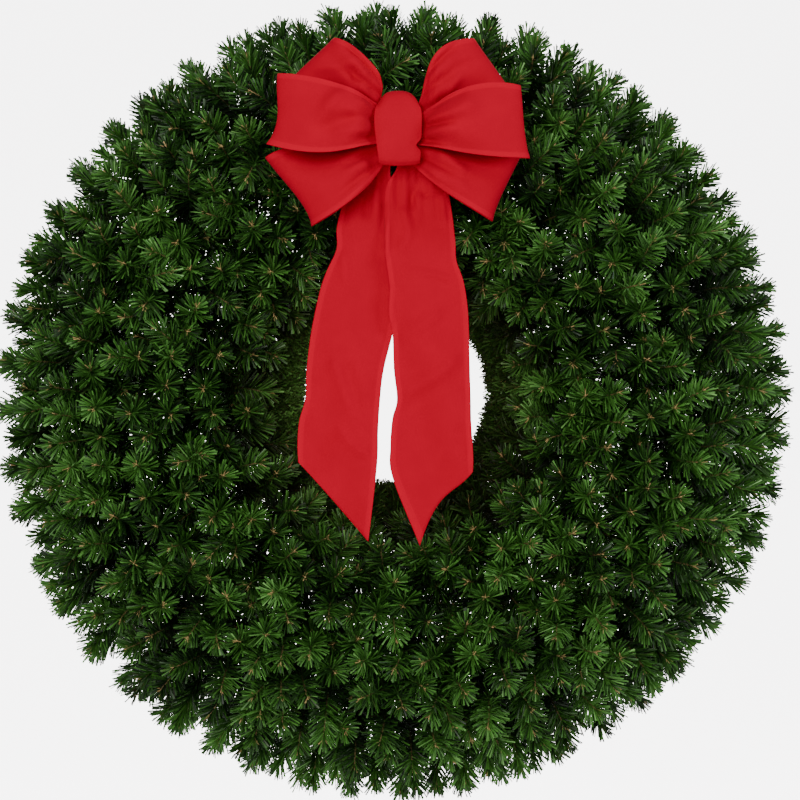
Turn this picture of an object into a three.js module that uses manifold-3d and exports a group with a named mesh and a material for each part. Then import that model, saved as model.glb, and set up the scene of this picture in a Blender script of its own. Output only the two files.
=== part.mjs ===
// A large artificial christmas wreath with a velvet bow, as it hangs on a wall.
// It is a welded wire frame of two rings, sprays of plastic needles wound on the rings, and a ribbon bow
// that a tie wire holds to the frame. Millimetres. Seen from the front +X is right, +Z is up and -Y is
// towards the viewer. The wall is the plane y = 0. The origin is where a hook catches the frame: on the
// wall, at the inside of the outer ring, on the top cross bar.

import * as THREE from 'three';
import Module from 'manifold-3d';
import { mergeVertices } from 'three/addons/utils/BufferGeometryUtils.js';

const wasm = await Module();
wasm.setup();

// Wire frame
const OUTER_RING_RADIUS = 425;
const INNER_RING_RADIUS = 310;
const WIRE_DIAMETER = 5;
const BAR_COUNT = 8;
const BAR_OVERHANG = 4;
const WELD_DEPTH = 0.5;
const RING_SEGMENTS = 16;
const WIRE_SIDES = 6;

// Wound stems round the rings, one length between each two cross bars
const SLEEVE_CLEARANCE = 0.3;
const SLEEVE_DIAMETER = 12.4;
const SLEEVE_TO_BAR = 12;

// Needle sprays. The stems' ends lie on half an oval that arches forward from the wall over both rings
const SPRAY_ROWS = 11;
const OUTER_ROWS = 6;
const FIRST_ROW_TURN = 6;
const LAST_ROW_TURN = 174;
const CREST_RADIUS = 375;
const RIM_REACH = 218;
const HOLE_REACH = 203;
const CREST_HEIGHT = 222;
const LEAST_RISE = 0.09;
const SPRAY_SPACING = 77;
const ROW_STAGGER = [0.25, 0.75];
const PLACE_JITTER = 0.16;
const TURN_JITTER = 2.2;
const SHORTEST_STRETCH = 0.97;
const LONGEST_STRETCH = 1.02;

// One spray: a slim stem with whorls of three needles near its end and three more needles at its end
const STEM_START = 4;
const STEM_RADIUS = 1.9;
const TWIG_RADIUS = 2;
const NEEDLE_LENGTH = 31;
const NEEDLE_BASE = 4;
const NEEDLE_LEAN = 34;
const NEEDLE_SWING = 15;
const END_NEEDLE_SHARE = 0.9;
const END_NEEDLE_LEAN = 54;
const END_NEEDLE_SWING = 42;
const LAST_WHORL_TO_END = 14;
const WHORL_SPACING = 26;
const RIM_WHORLS = 2;

// Room round the needles
const CLEAR_OF_OTHERS = 5.5;
const CLEAR_OF_WALL = 3;
const ROOT_CLEAR_OF_SLEEVE_END = 4;
const CROWDED_ROOT_LENGTH = 40;
const SPIN_TRIALS = 12;
const LEAST_GAP_WEIGHT = 3;
const SHORTER_NEEDLES = [1, 0.8, 0.62, 0.45, 0];

// Ribbon bow, measured from the middle of its knot
const KNOT_CENTRE = new THREE.Vector3(8, -250, 387);
const RIBBON_THICKNESS = 1.6;
const LAYER_PITCH = 2.4;
const GATHER_DEPTH = 1;

// Where the bow presses on the foliage, measured from the knot, and how far forward the foliage then stands
const PRESSED_DEPTH = 216;
const STEM_BELOW_NEEDLES = 22;
const PRESSED_ZONES = [
  { halfWidth: 205, low: -155, high: 145 },
  { halfWidth: 160, low: -600, high: -155 },
];

// The bow's pairs of loops. Each loop runs out from the knot between an upper and a lower edge, which are
// curves shaped by four points (right, up), round its outer end and back behind itself
const LOOP_PAIRS = [
  {
    name: 'bow_loops_middle',
    layer: -1,
    lean: -22,
    frontPuff: 30,
    backPuff: 4,
    puffAtUpper: 1,
    puffAtLower: 1,
    left: {
      upper: [[0, 20], [-45, 22], [-90, 66], [-169, 74]],
      lower: [[0, -20], [-45, -20], [-100, -52], [-185, -27]],
    },
    right: {
      upper: [[0, 20], [50, 18], [90, 58], [171, 59]],
      lower: [[0, -20], [45, -20], [100, -44], [182, -42]],
    },
  },
  {
    name: 'bow_loops_top',
    layer: 1.1,
    lean: -4,
    frontPuff: 22,
    backPuff: 12,
    puffAtUpper: 1,
    puffAtLower: 0.35,
    left: {
      upper: [[0, 20], [-43, 44], [-28, 106], [-94, 127]],
      lower: [[0, -20], [-22, 8], [-100, 50], [-165, 62]],
    },
    right: {
      upper: [[0, 20], [38, 36], [34, 100], [104, 127]],
      lower: [[0, -20], [22, 8], [100, 36], [172, 48]],
    },
  },
  {
    name: 'bow_loops_low',
    layer: 3.3,
    lean: 6,
    frontPuff: 22,
    backPuff: 4,
    puffAtUpper: 0.35,
    puffAtLower: 1,
    left: {
      upper: [[0, 20], [-22, -10], [-110, -30], [-185, -42]],
      lower: [[0, -20], [-20, -48], [-40, -95], [-122, -134]],
    },
    right: {
      upper: [[0, 20], [22, -10], [110, -22], [180, -30]],
      lower: [[0, -20], [25, -50], [60, -85], [133, -127]],
    },
  },
];
const LOOP_STEPS = 8;
const LOOP_COLUMNS = 4;

// A loop in cross-section is a drop, pinched at the knot and round at the outer end. Its gathers fade outwards
const DROP_PEAK = 0.6;
const GATHER_FADE = 3;
const GATHER_FOLDS = 2;

// The knot band's course from behind the gathers over the top and down the front: half its width, back, up
const KNOT_COURSE = [
  [15, 17.8, -18], [16, 17.8, 20], [17, 12, 42], [20, 0, 51.5], [26, -14, 43],
  [33.5, -21.5, 15], [33.5, -22.5, -20], [33, -18, -46], [31, -10, -51.5],
];
const KNOT_THICKNESS = 2;
const KNOT_STEPS = 13;
const KNOT_COLUMNS = 2;
const KNOT_CROWN = 2.5;
const KNOT_CROWN_START = 0.25;

// The tails, from the gathers down: each station holds both edges as (right, up) and how far back it hangs
const TAIL_COLUMNS = 3;
const TAIL_WAVE = 4;
const TAIL_WAVE_LENGTH = 400;
const TAIL_WAVE_START = 80;
const TAIL_WAVE_GROWTH = 200;
const TAILS = {
  bow_tail_left: [
    [-33, 25, -3.5, 25, 15.2],
    [-33, -30, -3.5, -30, 15.2],
    [-50, -56, -19, -56, 18],
    [-72, -80, -9, -80, 22],
    [-83, -115, 13, -115, 23],
    [-85, -160, 22, -160, 20],
    [-106, -227, 6, -227, 13],
    [-121, -290, -10, -290, 8],
    [-131, -381, -20, -381, 6],
    [-141, -450, -29, -470, 8],
    [-141, -470, -43, -580, 10],
  ],
  bow_tail_right: [
    [3.5, 25, 30, 25, 15.2],
    [3.5, -30, 28, -30, 15.2],
    [-9, -56, 25, -56, 17],
    [-18, -80, 48, -80, 18],
    [-19, -115, 75, -115, 17],
    [-20, -160, 78, -160, 12],
    [-15, -220, 90, -220, 4],
    [-6, -311, 100, -311, 0],
    [-3, -385, 105, -385, -1],
    [-10, -480, 106, -455, 1],
    [31, -585, 106, -476, 5],
  ],
};

// The tie wire: once round the gathers, then straight back through the sprays and round the inner ring.
// Its course round the gathers is measured from the knot. Its hook is a list of angles round the ring's wire
const TIE_RADIUS = 1;
const TIE_ARC_STEPS = 3;
const TIE_HOOK_REACH = 4.9;
const TIE_LEG_START = 7;
const TIE_LEG_END = 11;
const TIE_COURSE = [
  [-2.6, 13, -20], [-1.5, 13, 17], [0, 10, 26.5], [0, -4, 25.5], [0, -7.2, 14],
  [0, -7.2, -14], [0, -4, -26], [0, 10, -27], [0, 26, -34],
];
const TIE_BEFORE_RING = [-24, 10];
const TIE_HOOK_ANGLES = [110, 70, 30, -10, -50, -90];

const WIRE_RADIUS = WIRE_DIAMETER / 2;
const RING_CENTRE_Z = WIRE_RADIUS - OUTER_RING_RADIUS;
const RING_Y = WELD_DEPTH - WIRE_DIAMETER - WIRE_RADIUS;
const KNOT = KNOT_CENTRE.clone().add(new THREE.Vector3(0, 0, RING_CENTRE_Z));
const SECTOR_ANGLE = 360 / BAR_COUNT;
const ACROSS_FLATS = 1 / Math.cos(Math.PI / WIRE_SIDES);

const steel = new THREE.MeshStandardMaterial({ color: 0x3f4a3c, roughness: 0.5, metalness: 0.8 });
const foliage = new THREE.MeshStandardMaterial({ color: 0x1f4417, roughness: 0.55, metalness: 0 });
const velvet = new THREE.MeshStandardMaterial({ color: 0xc8051e, roughness: 0.9, metalness: 0 });
const tieSteel = new THREE.MeshStandardMaterial({ color: 0x4a5a40, roughness: 0.5, metalness: 0.7 });

const wreath = new THREE.Group();

// Seeded draws, so that each build places the sprays alike
let drawSeed = 2412;

function draw(low, high) {
  drawSeed = (drawSeed * 1664525 + 1013904223) % 4294967296;
  return low + (high - low) * drawSeed / 4294967296;
}

function radians(degrees) {
  return degrees * Math.PI / 180;
}

function addPiece(name, geometry, material) {
  const mesh = new THREE.Mesh(geometry, material);
  mesh.name = name;
  wreath.add(mesh);
}

// A closed three.js geometry as a solid that can be joined or cut
function solidOf(geometry) {
  const bare = geometry.clone();
  bare.deleteAttribute('normal');
  bare.deleteAttribute('uv');
  const merged = mergeVertices(bare);
  const mesh = new wasm.Mesh({
    numProp: 3,
    vertProperties: new Float32Array(merged.attributes.position.array),
    triVerts: new Uint32Array(merged.index.array),
  });
  return new wasm.Manifold(mesh);
}

function geometryOf(solid) {
  const mesh = solid.getMesh();
  const geometry = new THREE.BufferGeometry();
  geometry.setAttribute('position', new THREE.Float32BufferAttribute(mesh.vertProperties, 3));
  geometry.setIndex(Array.from(mesh.triVerts));
  geometry.computeVertexNormals();
  return geometry;
}

function indexedGeometry(points, triangles) {
  const geometry = new THREE.BufferGeometry();
  const coordinates = points.flatMap((point) => [point.x, point.y, point.z]);
  geometry.setAttribute('position', new THREE.Float32BufferAttribute(coordinates, 3));
  geometry.setIndex(triangles);
  geometry.computeVertexNormals();
  return geometry;
}

// A point of the wreath by its distance from the ring's centre, its depth and its angle from +X towards +Z
function ringPlace(radius, y, angle) {
  const turn = radians(angle);
  return new THREE.Vector3(radius * Math.cos(turn), y, RING_CENTRE_Z + radius * Math.sin(turn));
}

// A ring of wire with flat facets, one of which faces the wall
function ringSolid(radius, diameter) {
  const torus = new THREE.TorusGeometry(radius, diameter / 2 * ACROSS_FLATS, WIRE_SIDES, RING_SEGMENTS);
  torus.rotateX(Math.PI / 2);
  torus.translate(0, RING_Y, RING_CENTRE_Z);
  return solidOf(torus);
}

// A cross bar behind both rings, with its flat back on the wall
function barSolid(angle) {
  const length = OUTER_RING_RADIUS - INNER_RING_RADIUS + 2 * BAR_OVERHANG;
  const middle = (OUTER_RING_RADIUS + INNER_RING_RADIUS) / 2;
  const reach = WIRE_RADIUS * ACROSS_FLATS;
  const bar = new THREE.CylinderGeometry(reach, reach, length, WIRE_SIDES);
  bar.rotateY(Math.PI / WIRE_SIDES);
  bar.rotateX(Math.PI / 2);
  bar.rotateY(Math.PI / 2 - radians(angle));
  const place = ringPlace(middle, -WIRE_RADIUS, angle);
  bar.translate(place.x, place.y, place.z);
  return solidOf(bar);
}

function buildFrame() {
  let frame = ringSolid(OUTER_RING_RADIUS, WIRE_DIAMETER).add(ringSolid(INNER_RING_RADIUS, WIRE_DIAMETER));
  for (let i = 0; i < BAR_COUNT; i++) {
    frame = frame.add(barSolid(SECTOR_ANGLE * i));
  }
  addPiece('wire_frame', geometryOf(frame), steel);
}

// The wedge of space between two neighbouring cross bars, less a bare stretch beside each bar
function sectorWedge(angle) {
  const half = radians(SECTOR_ANGLE / 2);
  const apex = SLEEVE_TO_BAR / Math.sin(half);
  const far = OUTER_RING_RADIUS * 2;
  const outline = new THREE.Shape();
  outline.moveTo(apex, 0);
  outline.lineTo(apex + far * Math.cos(half), far * Math.sin(half));
  outline.lineTo(apex + far * Math.cos(half), -far * Math.sin(half));
  const depth = SLEEVE_DIAMETER * 2;
  const wedge = new THREE.ExtrudeGeometry(outline, { depth, bevelEnabled: false });
  wedge.translate(0, 0, -depth / 2);
  wedge.rotateX(Math.PI / 2);
  wedge.rotateY(-radians(angle));
  wedge.translate(0, RING_Y, RING_CENTRE_Z);
  return solidOf(wedge);
}

function sleeveSolid(radius, sector) {
  const wound = ringSolid(radius, SLEEVE_DIAMETER);
  const bore = ringSolid(radius, WIRE_DIAMETER + 2 * SLEEVE_CLEARANCE);
  return wound.subtract(bore).intersect(sectorWedge(SECTOR_ANGLE * (sector + 0.5)));
}

// Each spray's place: its row gives the turn on the oval, and its number in the row gives the angle
function planSprays() {
  const sprays = [];
  for (let row = 0; row < SPRAY_ROWS; row++) {
    const rowTurn = FIRST_ROW_TURN + (LAST_ROW_TURN - FIRST_ROW_TURN) * row / (SPRAY_ROWS - 1);
    const reach = rowTurn < 90 ? RIM_REACH : HOLE_REACH;
    const rowRadius = CREST_RADIUS + reach * Math.cos(radians(rowTurn));
    const count = Math.round(2 * Math.PI * rowRadius / SPRAY_SPACING);
    for (let i = 0; i < count; i++) {
      const angle = (i + ROW_STAGGER[row % 2] + draw(-PLACE_JITTER, PLACE_JITTER)) * 360 / count;
      const turn = radians(rowTurn + draw(-TURN_JITTER, TURN_JITTER));
      const stretch = draw(SHORTEST_STRETCH, LONGEST_STRETCH);
      const edgeRow = row === 0 || row === SPRAY_ROWS - 1;
      sprays.push({
        ring: row < OUTER_ROWS ? 'outer' : 'inner',
        angle,
        radius: CREST_RADIUS + (edgeRow ? 1 : stretch) * reach * Math.cos(turn),
        y: RING_Y - CREST_HEIGHT * stretch * Math.max(Math.sin(turn), LEAST_RISE),
        whorls: row === 0 ? RIM_WHORLS : 1,
        spin: draw(0, 120),
      });
    }
  }
  return sprays;
}

// How far forward the foliage may stand at a place
function depthLimit(x, z) {
  const aside = Math.abs(x - KNOT.x);
  const up = z - KNOT.z;
  const isPressed = PRESSED_ZONES.some((zone) => aside < zone.halfWidth && up > zone.low && up < zone.high);
  return isPressed ? PRESSED_DEPTH : Infinity;
}

// Where a spray's stem grows out of the wound stems, and which length of them that is
function rootOf(spray) {
  const radius = spray.ring === 'outer' ? OUTER_RING_RADIUS : INNER_RING_RADIUS;
  const sector = Math.floor(((spray.angle % 360) + 360) % 360 / SECTOR_ANGLE);
  const margin = 180 / Math.PI * (SLEEVE_TO_BAR + ROOT_CLEAR_OF_SLEEVE_END) / radius;
  const low = sector * SECTOR_ANGLE + margin;
  const high = (sector + 1) * SECTOR_ANGLE - margin;
  const angle = Math.min(Math.max(((spray.angle % 360) + 360) % 360, low), high);
  const halfSegment = 180 / RING_SEGMENTS;
  const fromMiddle = angle % (2 * halfSegment) - halfSegment;
  const chord = radius * Math.cos(radians(halfSegment)) / Math.cos(radians(fromMiddle));
  return { sector, root: ringPlace(chord, RING_Y, angle) };
}

// The corners of a spray: three-cornered rings up the stem, a needle from each side of each whorl,
// and three more from the cone at its end
function sprayBody(root, end, spin, whorls, needleShare) {
  const axis = end.clone().sub(root).normalize();
  const aside = new THREE.Vector3(0, 1, 0).cross(axis);
  if (aside.length() < 0.2) {
    aside.set(1, 0, 0).cross(axis);
  }
  aside.normalize();
  const upright = axis.clone().cross(aside);
  const length = end.distanceTo(root);
  const outward = (degrees) => aside.clone().multiplyScalar(Math.cos(radians(degrees)))
    .addScaledVector(upright, Math.sin(radians(degrees)));
  const ringOf = (distance, radius) => [0, 120, 240].map((corner) => root.clone()
    .addScaledVector(axis, distance).addScaledVector(outward(spin + corner), radius));

  const points = ringOf(STEM_START, STEM_RADIUS);
  const triangles = [0, 2, 1];
  const needles = [];
  const addNeedle = (middle, azimuth, lean, share, corners) => {
    const direction = outward(azimuth).multiplyScalar(Math.cos(radians(lean)))
      .addScaledVector(axis, Math.sin(radians(lean)));
    const needle = { from: middle, to: middle.clone().addScaledVector(direction, NEEDLE_LENGTH * share) };
    needles.push(needle);
    if (share === 0) {
      for (let i = 1; i < corners.length - 1; i++) {
        triangles.push(corners[0], corners[i], corners[i + 1]);
      }
      return;
    }
    points.push(needle.to);
    corners.forEach((corner, i) => {
      triangles.push(corner, corners[(i + 1) % corners.length], points.length - 1);
    });
  };
  const middleOf = (corners) => corners
    .reduce((sum, corner) => sum.add(points[corner]), new THREE.Vector3()).divideScalar(corners.length);

  let last = 0;
  for (let whorl = 0; whorl < whorls; whorl++) {
    const fromEnd = LAST_WHORL_TO_END + (whorls - 1 - whorl) * WHORL_SPACING;
    const low = points.length;
    points.push(...ringOf(length - fromEnd, TWIG_RADIUS));
    const high = points.length;
    points.push(...ringOf(length - fromEnd + NEEDLE_BASE, TWIG_RADIUS));
    for (let side = 0; side < 3; side++) {
      const next = (side + 1) % 3;
      triangles.push(last + side, last + next, low + next);
      triangles.push(last + side, low + next, low + side);
      const corners = [low + side, low + next, high + next, high + side];
      const swing = whorl % 2 === whorls % 2 ? NEEDLE_SWING : -NEEDLE_SWING;
      const azimuth = spin + 60 + side * 120 + swing;
      addNeedle(middleOf(corners), azimuth, NEEDLE_LEAN, needleShare[needles.length], corners);
    }
    last = high;
  }
  const apex = points.length;
  points.push(end.clone());
  for (let side = 0; side < 3; side++) {
    const corners = [last + side, last + (side + 1) % 3, apex];
    const azimuth = spin + 60 + side * 120 + END_NEEDLE_SWING;
    const share = END_NEEDLE_SHARE * needleShare[needles.length];
    addNeedle(middleOf(corners), azimuth, END_NEEDLE_LEAN, share, corners);
  }
  return { points, triangles, needles };
}

// The shortest distance between two straight stretches
function stretchGap(a, b) {
  const u = a.to.clone().sub(a.from);
  const v = b.to.clone().sub(b.from);
  const w = a.from.clone().sub(b.from);
  const uu = u.dot(u);
  const uv = u.dot(v);
  const vv = v.dot(v);
  const uw = u.dot(w);
  const vw = v.dot(w);
  const clamp = (share) => Math.min(Math.max(share, 0), 1);
  const spread = uu * vv - uv * uv;
  let s = spread < 1e-9 ? 0 : clamp((uv * vw - vv * uw) / spread);
  const t = clamp((uv * s + vw) / vv);
  s = clamp((uv * t - uw) / uu);
  return w.addScaledVector(u, s).addScaledVector(v, -t).length();
}

// Turns each spray to where its needles stay clear of all that is placed before it, and shortens the needles
// that can't
function placeSprays(sprays, obstacles) {
  const placed = [];
  for (const spray of sprays) {
    const { sector, root } = rootOf(spray);
    const end = ringPlace(spray.radius, spray.y, spray.angle);
    const limit = depthLimit(end.x, end.z) - STEM_BELOW_NEEDLES;
    if (-end.y > limit) {
      end.lerp(root, (-end.y - limit) / (root.y - end.y));
    }
    const middle = end.clone().add(root).multiplyScalar(0.5);
    const reach = end.distanceTo(root) / 2 + NEEDLE_LENGTH;
    const others = placed.filter((other) => other.middle.distanceTo(middle) < reach + other.reach);
    const near = others.flatMap((other) => other.stretches).concat(obstacles);
    let best = null;
    for (let trial = 0; trial < SPIN_TRIALS; trial++) {
      const spin = spray.spin + trial * 120 / SPIN_TRIALS;
      const full = new Array(3 * spray.whorls + 3).fill(1);
      const { needles } = sprayBody(root, end, spin, spray.whorls, full);
      const gaps = needles.map((needle) => {
        const wallGap = needle.to.y < -CLEAR_OF_WALL ? CLEAR_OF_OTHERS : 0;
        return near.reduce((least, other) => Math.min(least, stretchGap(needle, other)), wallGap);
      });
      const score = gaps.reduce((sum, gap) => sum + gap, 0) + LEAST_GAP_WEIGHT * Math.min(...gaps);
      if (best === null || score > best.score) {
        best = { spin, gaps, score };
      }
    }
    const shares = best.gaps.map(() => 1);
    for (const share of SHORTER_NEEDLES) {
      const { needles } = sprayBody(root, end, best.spin, spray.whorls, shares);
      needles.forEach((needle, i) => {
        const gap = near.reduce((least, other) => Math.min(least, stretchGap(needle, other)), Infinity);
        const isPressed = -needle.to.y > depthLimit(needle.to.x, needle.to.z);
        if (gap < CLEAR_OF_OTHERS || needle.to.y > -CLEAR_OF_WALL || isPressed) {
          shares[i] = Math.min(shares[i], share);
        }
      });
    }
    const body = sprayBody(root, end, best.spin, spray.whorls, shares);
    const along = end.clone().sub(root).normalize();
    const stem = { from: root.clone().addScaledVector(along, CROWDED_ROOT_LENGTH), to: end };
    const kept = body.needles.filter((needle, i) => shares[i] > 0);
    placed.push({ ring: spray.ring, sector, body, middle, reach, stretches: [...kept, stem] });
  }
  return placed;
}

function buildSprays(obstacles) {
  const placed = placeSprays(planSprays(), obstacles);
  for (const ring of ['outer', 'inner']) {
    const radius = ring === 'outer' ? OUTER_RING_RADIUS : INNER_RING_RADIUS;
    for (let sector = 0; sector < BAR_COUNT; sector++) {
      let bunch = sleeveSolid(radius, sector);
      for (const spray of placed.filter((item) => item.ring === ring && item.sector === sector)) {
        bunch = bunch.add(solidOf(indexedGeometry(spray.body.points, spray.body.triangles)));
      }
      const number = String(sector + 1).padStart(2, '0');
      addPiece(`sprays_${ring}_${number}`, geometryOf(bunch), foliage);
    }
  }
}

// A ribbon as a thin solid round the middle surface that place(u, v) gives, u along it and v across it
function ribbonGeometry(place, along, across, thickness, isBand) {
  const rows = isBand ? along : along + 1;
  const grid = [];
  for (let i = 0; i < rows; i++) {
    grid.push([]);
    for (let j = 0; j <= across; j++) {
      grid[i].push(place(i / along, j / across));
    }
  }
  const rowAt = (i) => isBand ? (i + rows) % rows : Math.min(Math.max(i, 0), rows - 1);
  const columnAt = (j) => Math.min(Math.max(j, 0), across);
  const points = [];
  for (const side of [1, -1]) {
    for (let i = 0; i < rows; i++) {
      for (let j = 0; j <= across; j++) {
        const lengthwise = grid[rowAt(i + 1)][j].clone().sub(grid[rowAt(i - 1)][j]);
        const crosswise = grid[i][columnAt(j + 1)].clone().sub(grid[i][columnAt(j - 1)]);
        const normal = lengthwise.cross(crosswise).normalize();
        points.push(grid[i][j].clone().addScaledVector(normal, side * thickness / 2));
      }
    }
  }
  const back = rows * (across + 1);
  const at = (i, j) => rowAt(i) * (across + 1) + j;
  const triangles = [];
  const quad = (a, b, c, d) => triangles.push(a, b, c, a, c, d);
  for (let i = 0; i < along; i++) {
    for (let j = 0; j < across; j++) {
      quad(at(i, j), at(i + 1, j), at(i + 1, j + 1), at(i, j + 1));
      const [a, b, c, d] = [at(i, j), at(i + 1, j), at(i + 1, j + 1), at(i, j + 1)].map((k) => k + back);
      triangles.push(a, c, b, a, d, c);
    }
    quad(at(i, 0), at(i, 0) + back, at(i + 1, 0) + back, at(i + 1, 0));
    quad(at(i + 1, across), at(i + 1, across) + back, at(i, across) + back, at(i, across));
  }
  if (!isBand) {
    for (let j = 0; j < across; j++) {
      quad(at(0, j + 1), at(0, j + 1) + back, at(0, j) + back, at(0, j));
      quad(at(along, j), at(along, j) + back, at(along, j + 1) + back, at(along, j + 1));
    }
  }
  return indexedGeometry(points, triangles);
}

function edgeCurve(points) {
  const corners = points.map(([x, z]) => new THREE.Vector3(x, 0, z));
  return new THREE.CubicBezierCurve3(...corners);
}

// A place on a loop's band: turn 0 is the front at the knot, half a turn is the outer end
function loopPlace(pair, half, turn, v) {
  const s = (1 - Math.cos(turn)) / 2;
  const place = half.upperCurve.getPoint(s).lerp(half.lowerCurve.getPoint(s), v);
  const drop = Math.abs(Math.sin(turn)) * Math.sin(turn / 2) ** 3 / DROP_PEAK;
  const puff = pair.puffAtUpper + (pair.puffAtLower - pair.puffAtUpper) * v;
  const front = LAYER_PITCH / 2 * Math.cos(turn / 2);
  const bulge = turn < Math.PI ? pair.frontPuff * drop : -pair.backPuff * drop;
  const gather = GATHER_DEPTH * (1 - s) ** GATHER_FADE * Math.cos(2 * Math.PI * GATHER_FOLDS * v);
  place.y = pair.layer * LAYER_PITCH - front - bulge * puff + pair.lean * s * (2 - s) + gather;
  return place.add(KNOT);
}

function buildLoops() {
  for (const pair of LOOP_PAIRS) {
    const halves = [pair.left, pair.right].map((half) => ({
      upperCurve: edgeCurve(half.upper),
      lowerCurve: edgeCurve(half.lower),
    }));
    const place = (u, v) => {
      const isLeft = u < 0.5;
      const turn = isLeft ? 4 * Math.PI * u : 4 * Math.PI * (1 - u);
      return loopPlace(pair, halves[isLeft ? 0 : 1], turn, v);
    };
    addPiece(pair.name, ribbonGeometry(place, 2 * LOOP_STEPS, LOOP_COLUMNS, RIBBON_THICKNESS, true), velvet);
  }
}

function buildKnot() {
  const course = new THREE.CatmullRomCurve3(KNOT_COURSE.map((point) => new THREE.Vector3(...point)));
  const place = (u, v) => {
    const point = course.getPoint(u);
    const across = 2 * v - 1;
    const rise = Math.sin(Math.PI * (u - KNOT_CROWN_START) / (1 - KNOT_CROWN_START));
    const crown = KNOT_CROWN * (1 - across ** 2) * Math.max(0, rise);
    return new THREE.Vector3(point.x * across, point.y - crown, point.z).add(KNOT);
  };
  addPiece('bow_knot', ribbonGeometry(place, KNOT_STEPS, KNOT_COLUMNS, KNOT_THICKNESS, false), velvet);
}

function buildTails() {
  for (const [name, stations] of Object.entries(TAILS)) {
    const steps = stations.length - 1;
    const place = (u, v) => {
      const [leftX, leftZ, rightX, rightZ, back] = stations[Math.round(u * steps)];
      const point = new THREE.Vector3(leftX, back, leftZ).lerp(new THREE.Vector3(rightX, back, rightZ), v);
      const drop = Math.min(Math.max(-(point.z + TAIL_WAVE_START) / TAIL_WAVE_GROWTH, 0), 1);
      point.y += TAIL_WAVE * drop * Math.sin(2 * Math.PI * (v + point.z / TAIL_WAVE_LENGTH));
      return point.add(KNOT);
    };
    addPiece(name, ribbonGeometry(place, steps, TAIL_COLUMNS, RIBBON_THICKNESS, false), velvet);
  }
}

function tiePoints() {
  const drop = KNOT.x * Math.tan(Math.PI / RING_SEGMENTS);
  const ring = ringPlace(INNER_RING_RADIUS, RING_Y, 90);
  const [back, up] = TIE_BEFORE_RING;
  const hookPoint = (angle) => new THREE.Vector3(
    KNOT.x,
    ring.y + TIE_HOOK_REACH * Math.cos(radians(angle)),
    ring.z - drop + TIE_HOOK_REACH * Math.sin(radians(angle)),
  );
  return [
    ...TIE_COURSE.map((point) => new THREE.Vector3(...point).add(KNOT)),
    new THREE.Vector3(KNOT.x, ring.y + back, ring.z + up),
    ...TIE_HOOK_ANGLES.map(hookPoint),
  ];
}

// The wire's sections stand at the course's points, which lie closer together at the bends
function buildTie() {
  const points = tiePoints();
  const course = new THREE.CatmullRomCurve3(points);
  course.getPointAt = (share) => course.getPoint(share);
  course.getTangentAt = (share) => course.getTangent(share);
  const section = new THREE.Shape();
  section.absarc(0, 0, TIE_RADIUS, 0, 2 * Math.PI);
  const options = { steps: points.length - 1, curveSegments: TIE_ARC_STEPS, extrudePath: course };
  addPiece('bow_tie_wire', geometryOf(solidOf(new THREE.ExtrudeGeometry(section, options))), tieSteel);
}

function tieObstacles() {
  const points = tiePoints().slice(TIE_LEG_START, TIE_LEG_END);
  return points.slice(1).map((point, i) => ({ from: points[i], to: point }));
}

buildFrame();
buildSprays(tieObstacles());
buildLoops();
buildKnot();
buildTails();
buildTie();

export default wreath;
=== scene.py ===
"""A large artificial Christmas wreath with a red velvet bow, seen straight from the front."""
import math

import bpy
import numpy as np
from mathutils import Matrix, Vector


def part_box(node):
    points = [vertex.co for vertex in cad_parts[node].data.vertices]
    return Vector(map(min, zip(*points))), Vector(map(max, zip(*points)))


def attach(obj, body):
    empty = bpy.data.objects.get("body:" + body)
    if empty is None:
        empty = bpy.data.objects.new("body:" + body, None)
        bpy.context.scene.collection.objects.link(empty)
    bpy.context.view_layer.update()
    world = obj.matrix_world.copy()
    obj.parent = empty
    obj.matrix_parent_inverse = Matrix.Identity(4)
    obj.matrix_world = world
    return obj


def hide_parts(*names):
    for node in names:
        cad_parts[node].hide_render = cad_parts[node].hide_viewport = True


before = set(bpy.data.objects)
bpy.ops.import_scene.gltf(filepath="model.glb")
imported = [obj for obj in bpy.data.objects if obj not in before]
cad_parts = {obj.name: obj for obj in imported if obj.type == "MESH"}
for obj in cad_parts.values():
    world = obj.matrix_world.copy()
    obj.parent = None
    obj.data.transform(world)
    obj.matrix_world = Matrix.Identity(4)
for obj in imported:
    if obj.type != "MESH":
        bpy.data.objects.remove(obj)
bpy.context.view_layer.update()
bpy.ops.object.select_all(action="DESELECT")


# Camera. It stands three metres in front of the rings and looks straight at them, so that the picture
# spans the whole wreath with its rim close to the edges of the frame.
CAMERA_DISTANCE = 3.0
CAMERA_RIGHT = 0.0107
CAMERA_ABOVE_CENTRE = 0.0015
SENSOR_WIDTH = 36
SEEN_WIDTH = 1.235
WIRE_RADIUS = 0.0025
frame_low, frame_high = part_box("wire_frame")
ring_y = frame_low.y + WIRE_RADIUS
ring_z = (frame_low.z + frame_high.z) / 2

bpy.ops.object.camera_add(
    location=(CAMERA_RIGHT, ring_y - CAMERA_DISTANCE, ring_z + CAMERA_ABOVE_CENTRE),
    rotation=(math.pi / 2, 0, 0),
)
camera = bpy.context.object
camera.name = "camera"
camera.data.sensor_width = SENSOR_WIDTH
camera.data.lens = SENSOR_WIDTH * CAMERA_DISTANCE / SEEN_WIDTH
bpy.context.scene.camera = camera


# Wire frame. Two rings of 5 mm steel wire with eight short cross bars spot-welded behind them, dipped in
# dark green enamel that has thinned over the weld beads. The rings carry everything else.
BAR_OVERHANG = 0.004
OUTER_RING = frame_high.x - BAR_OVERHANG
INNER_RING = OUTER_RING - 0.115
BAR_COUNT = 8
BEAD_RADIUS = 0.0034


def place_on_ring(radius, y, angle):
    return (radius * math.cos(angle), y, ring_z + radius * math.sin(angle))


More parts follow.
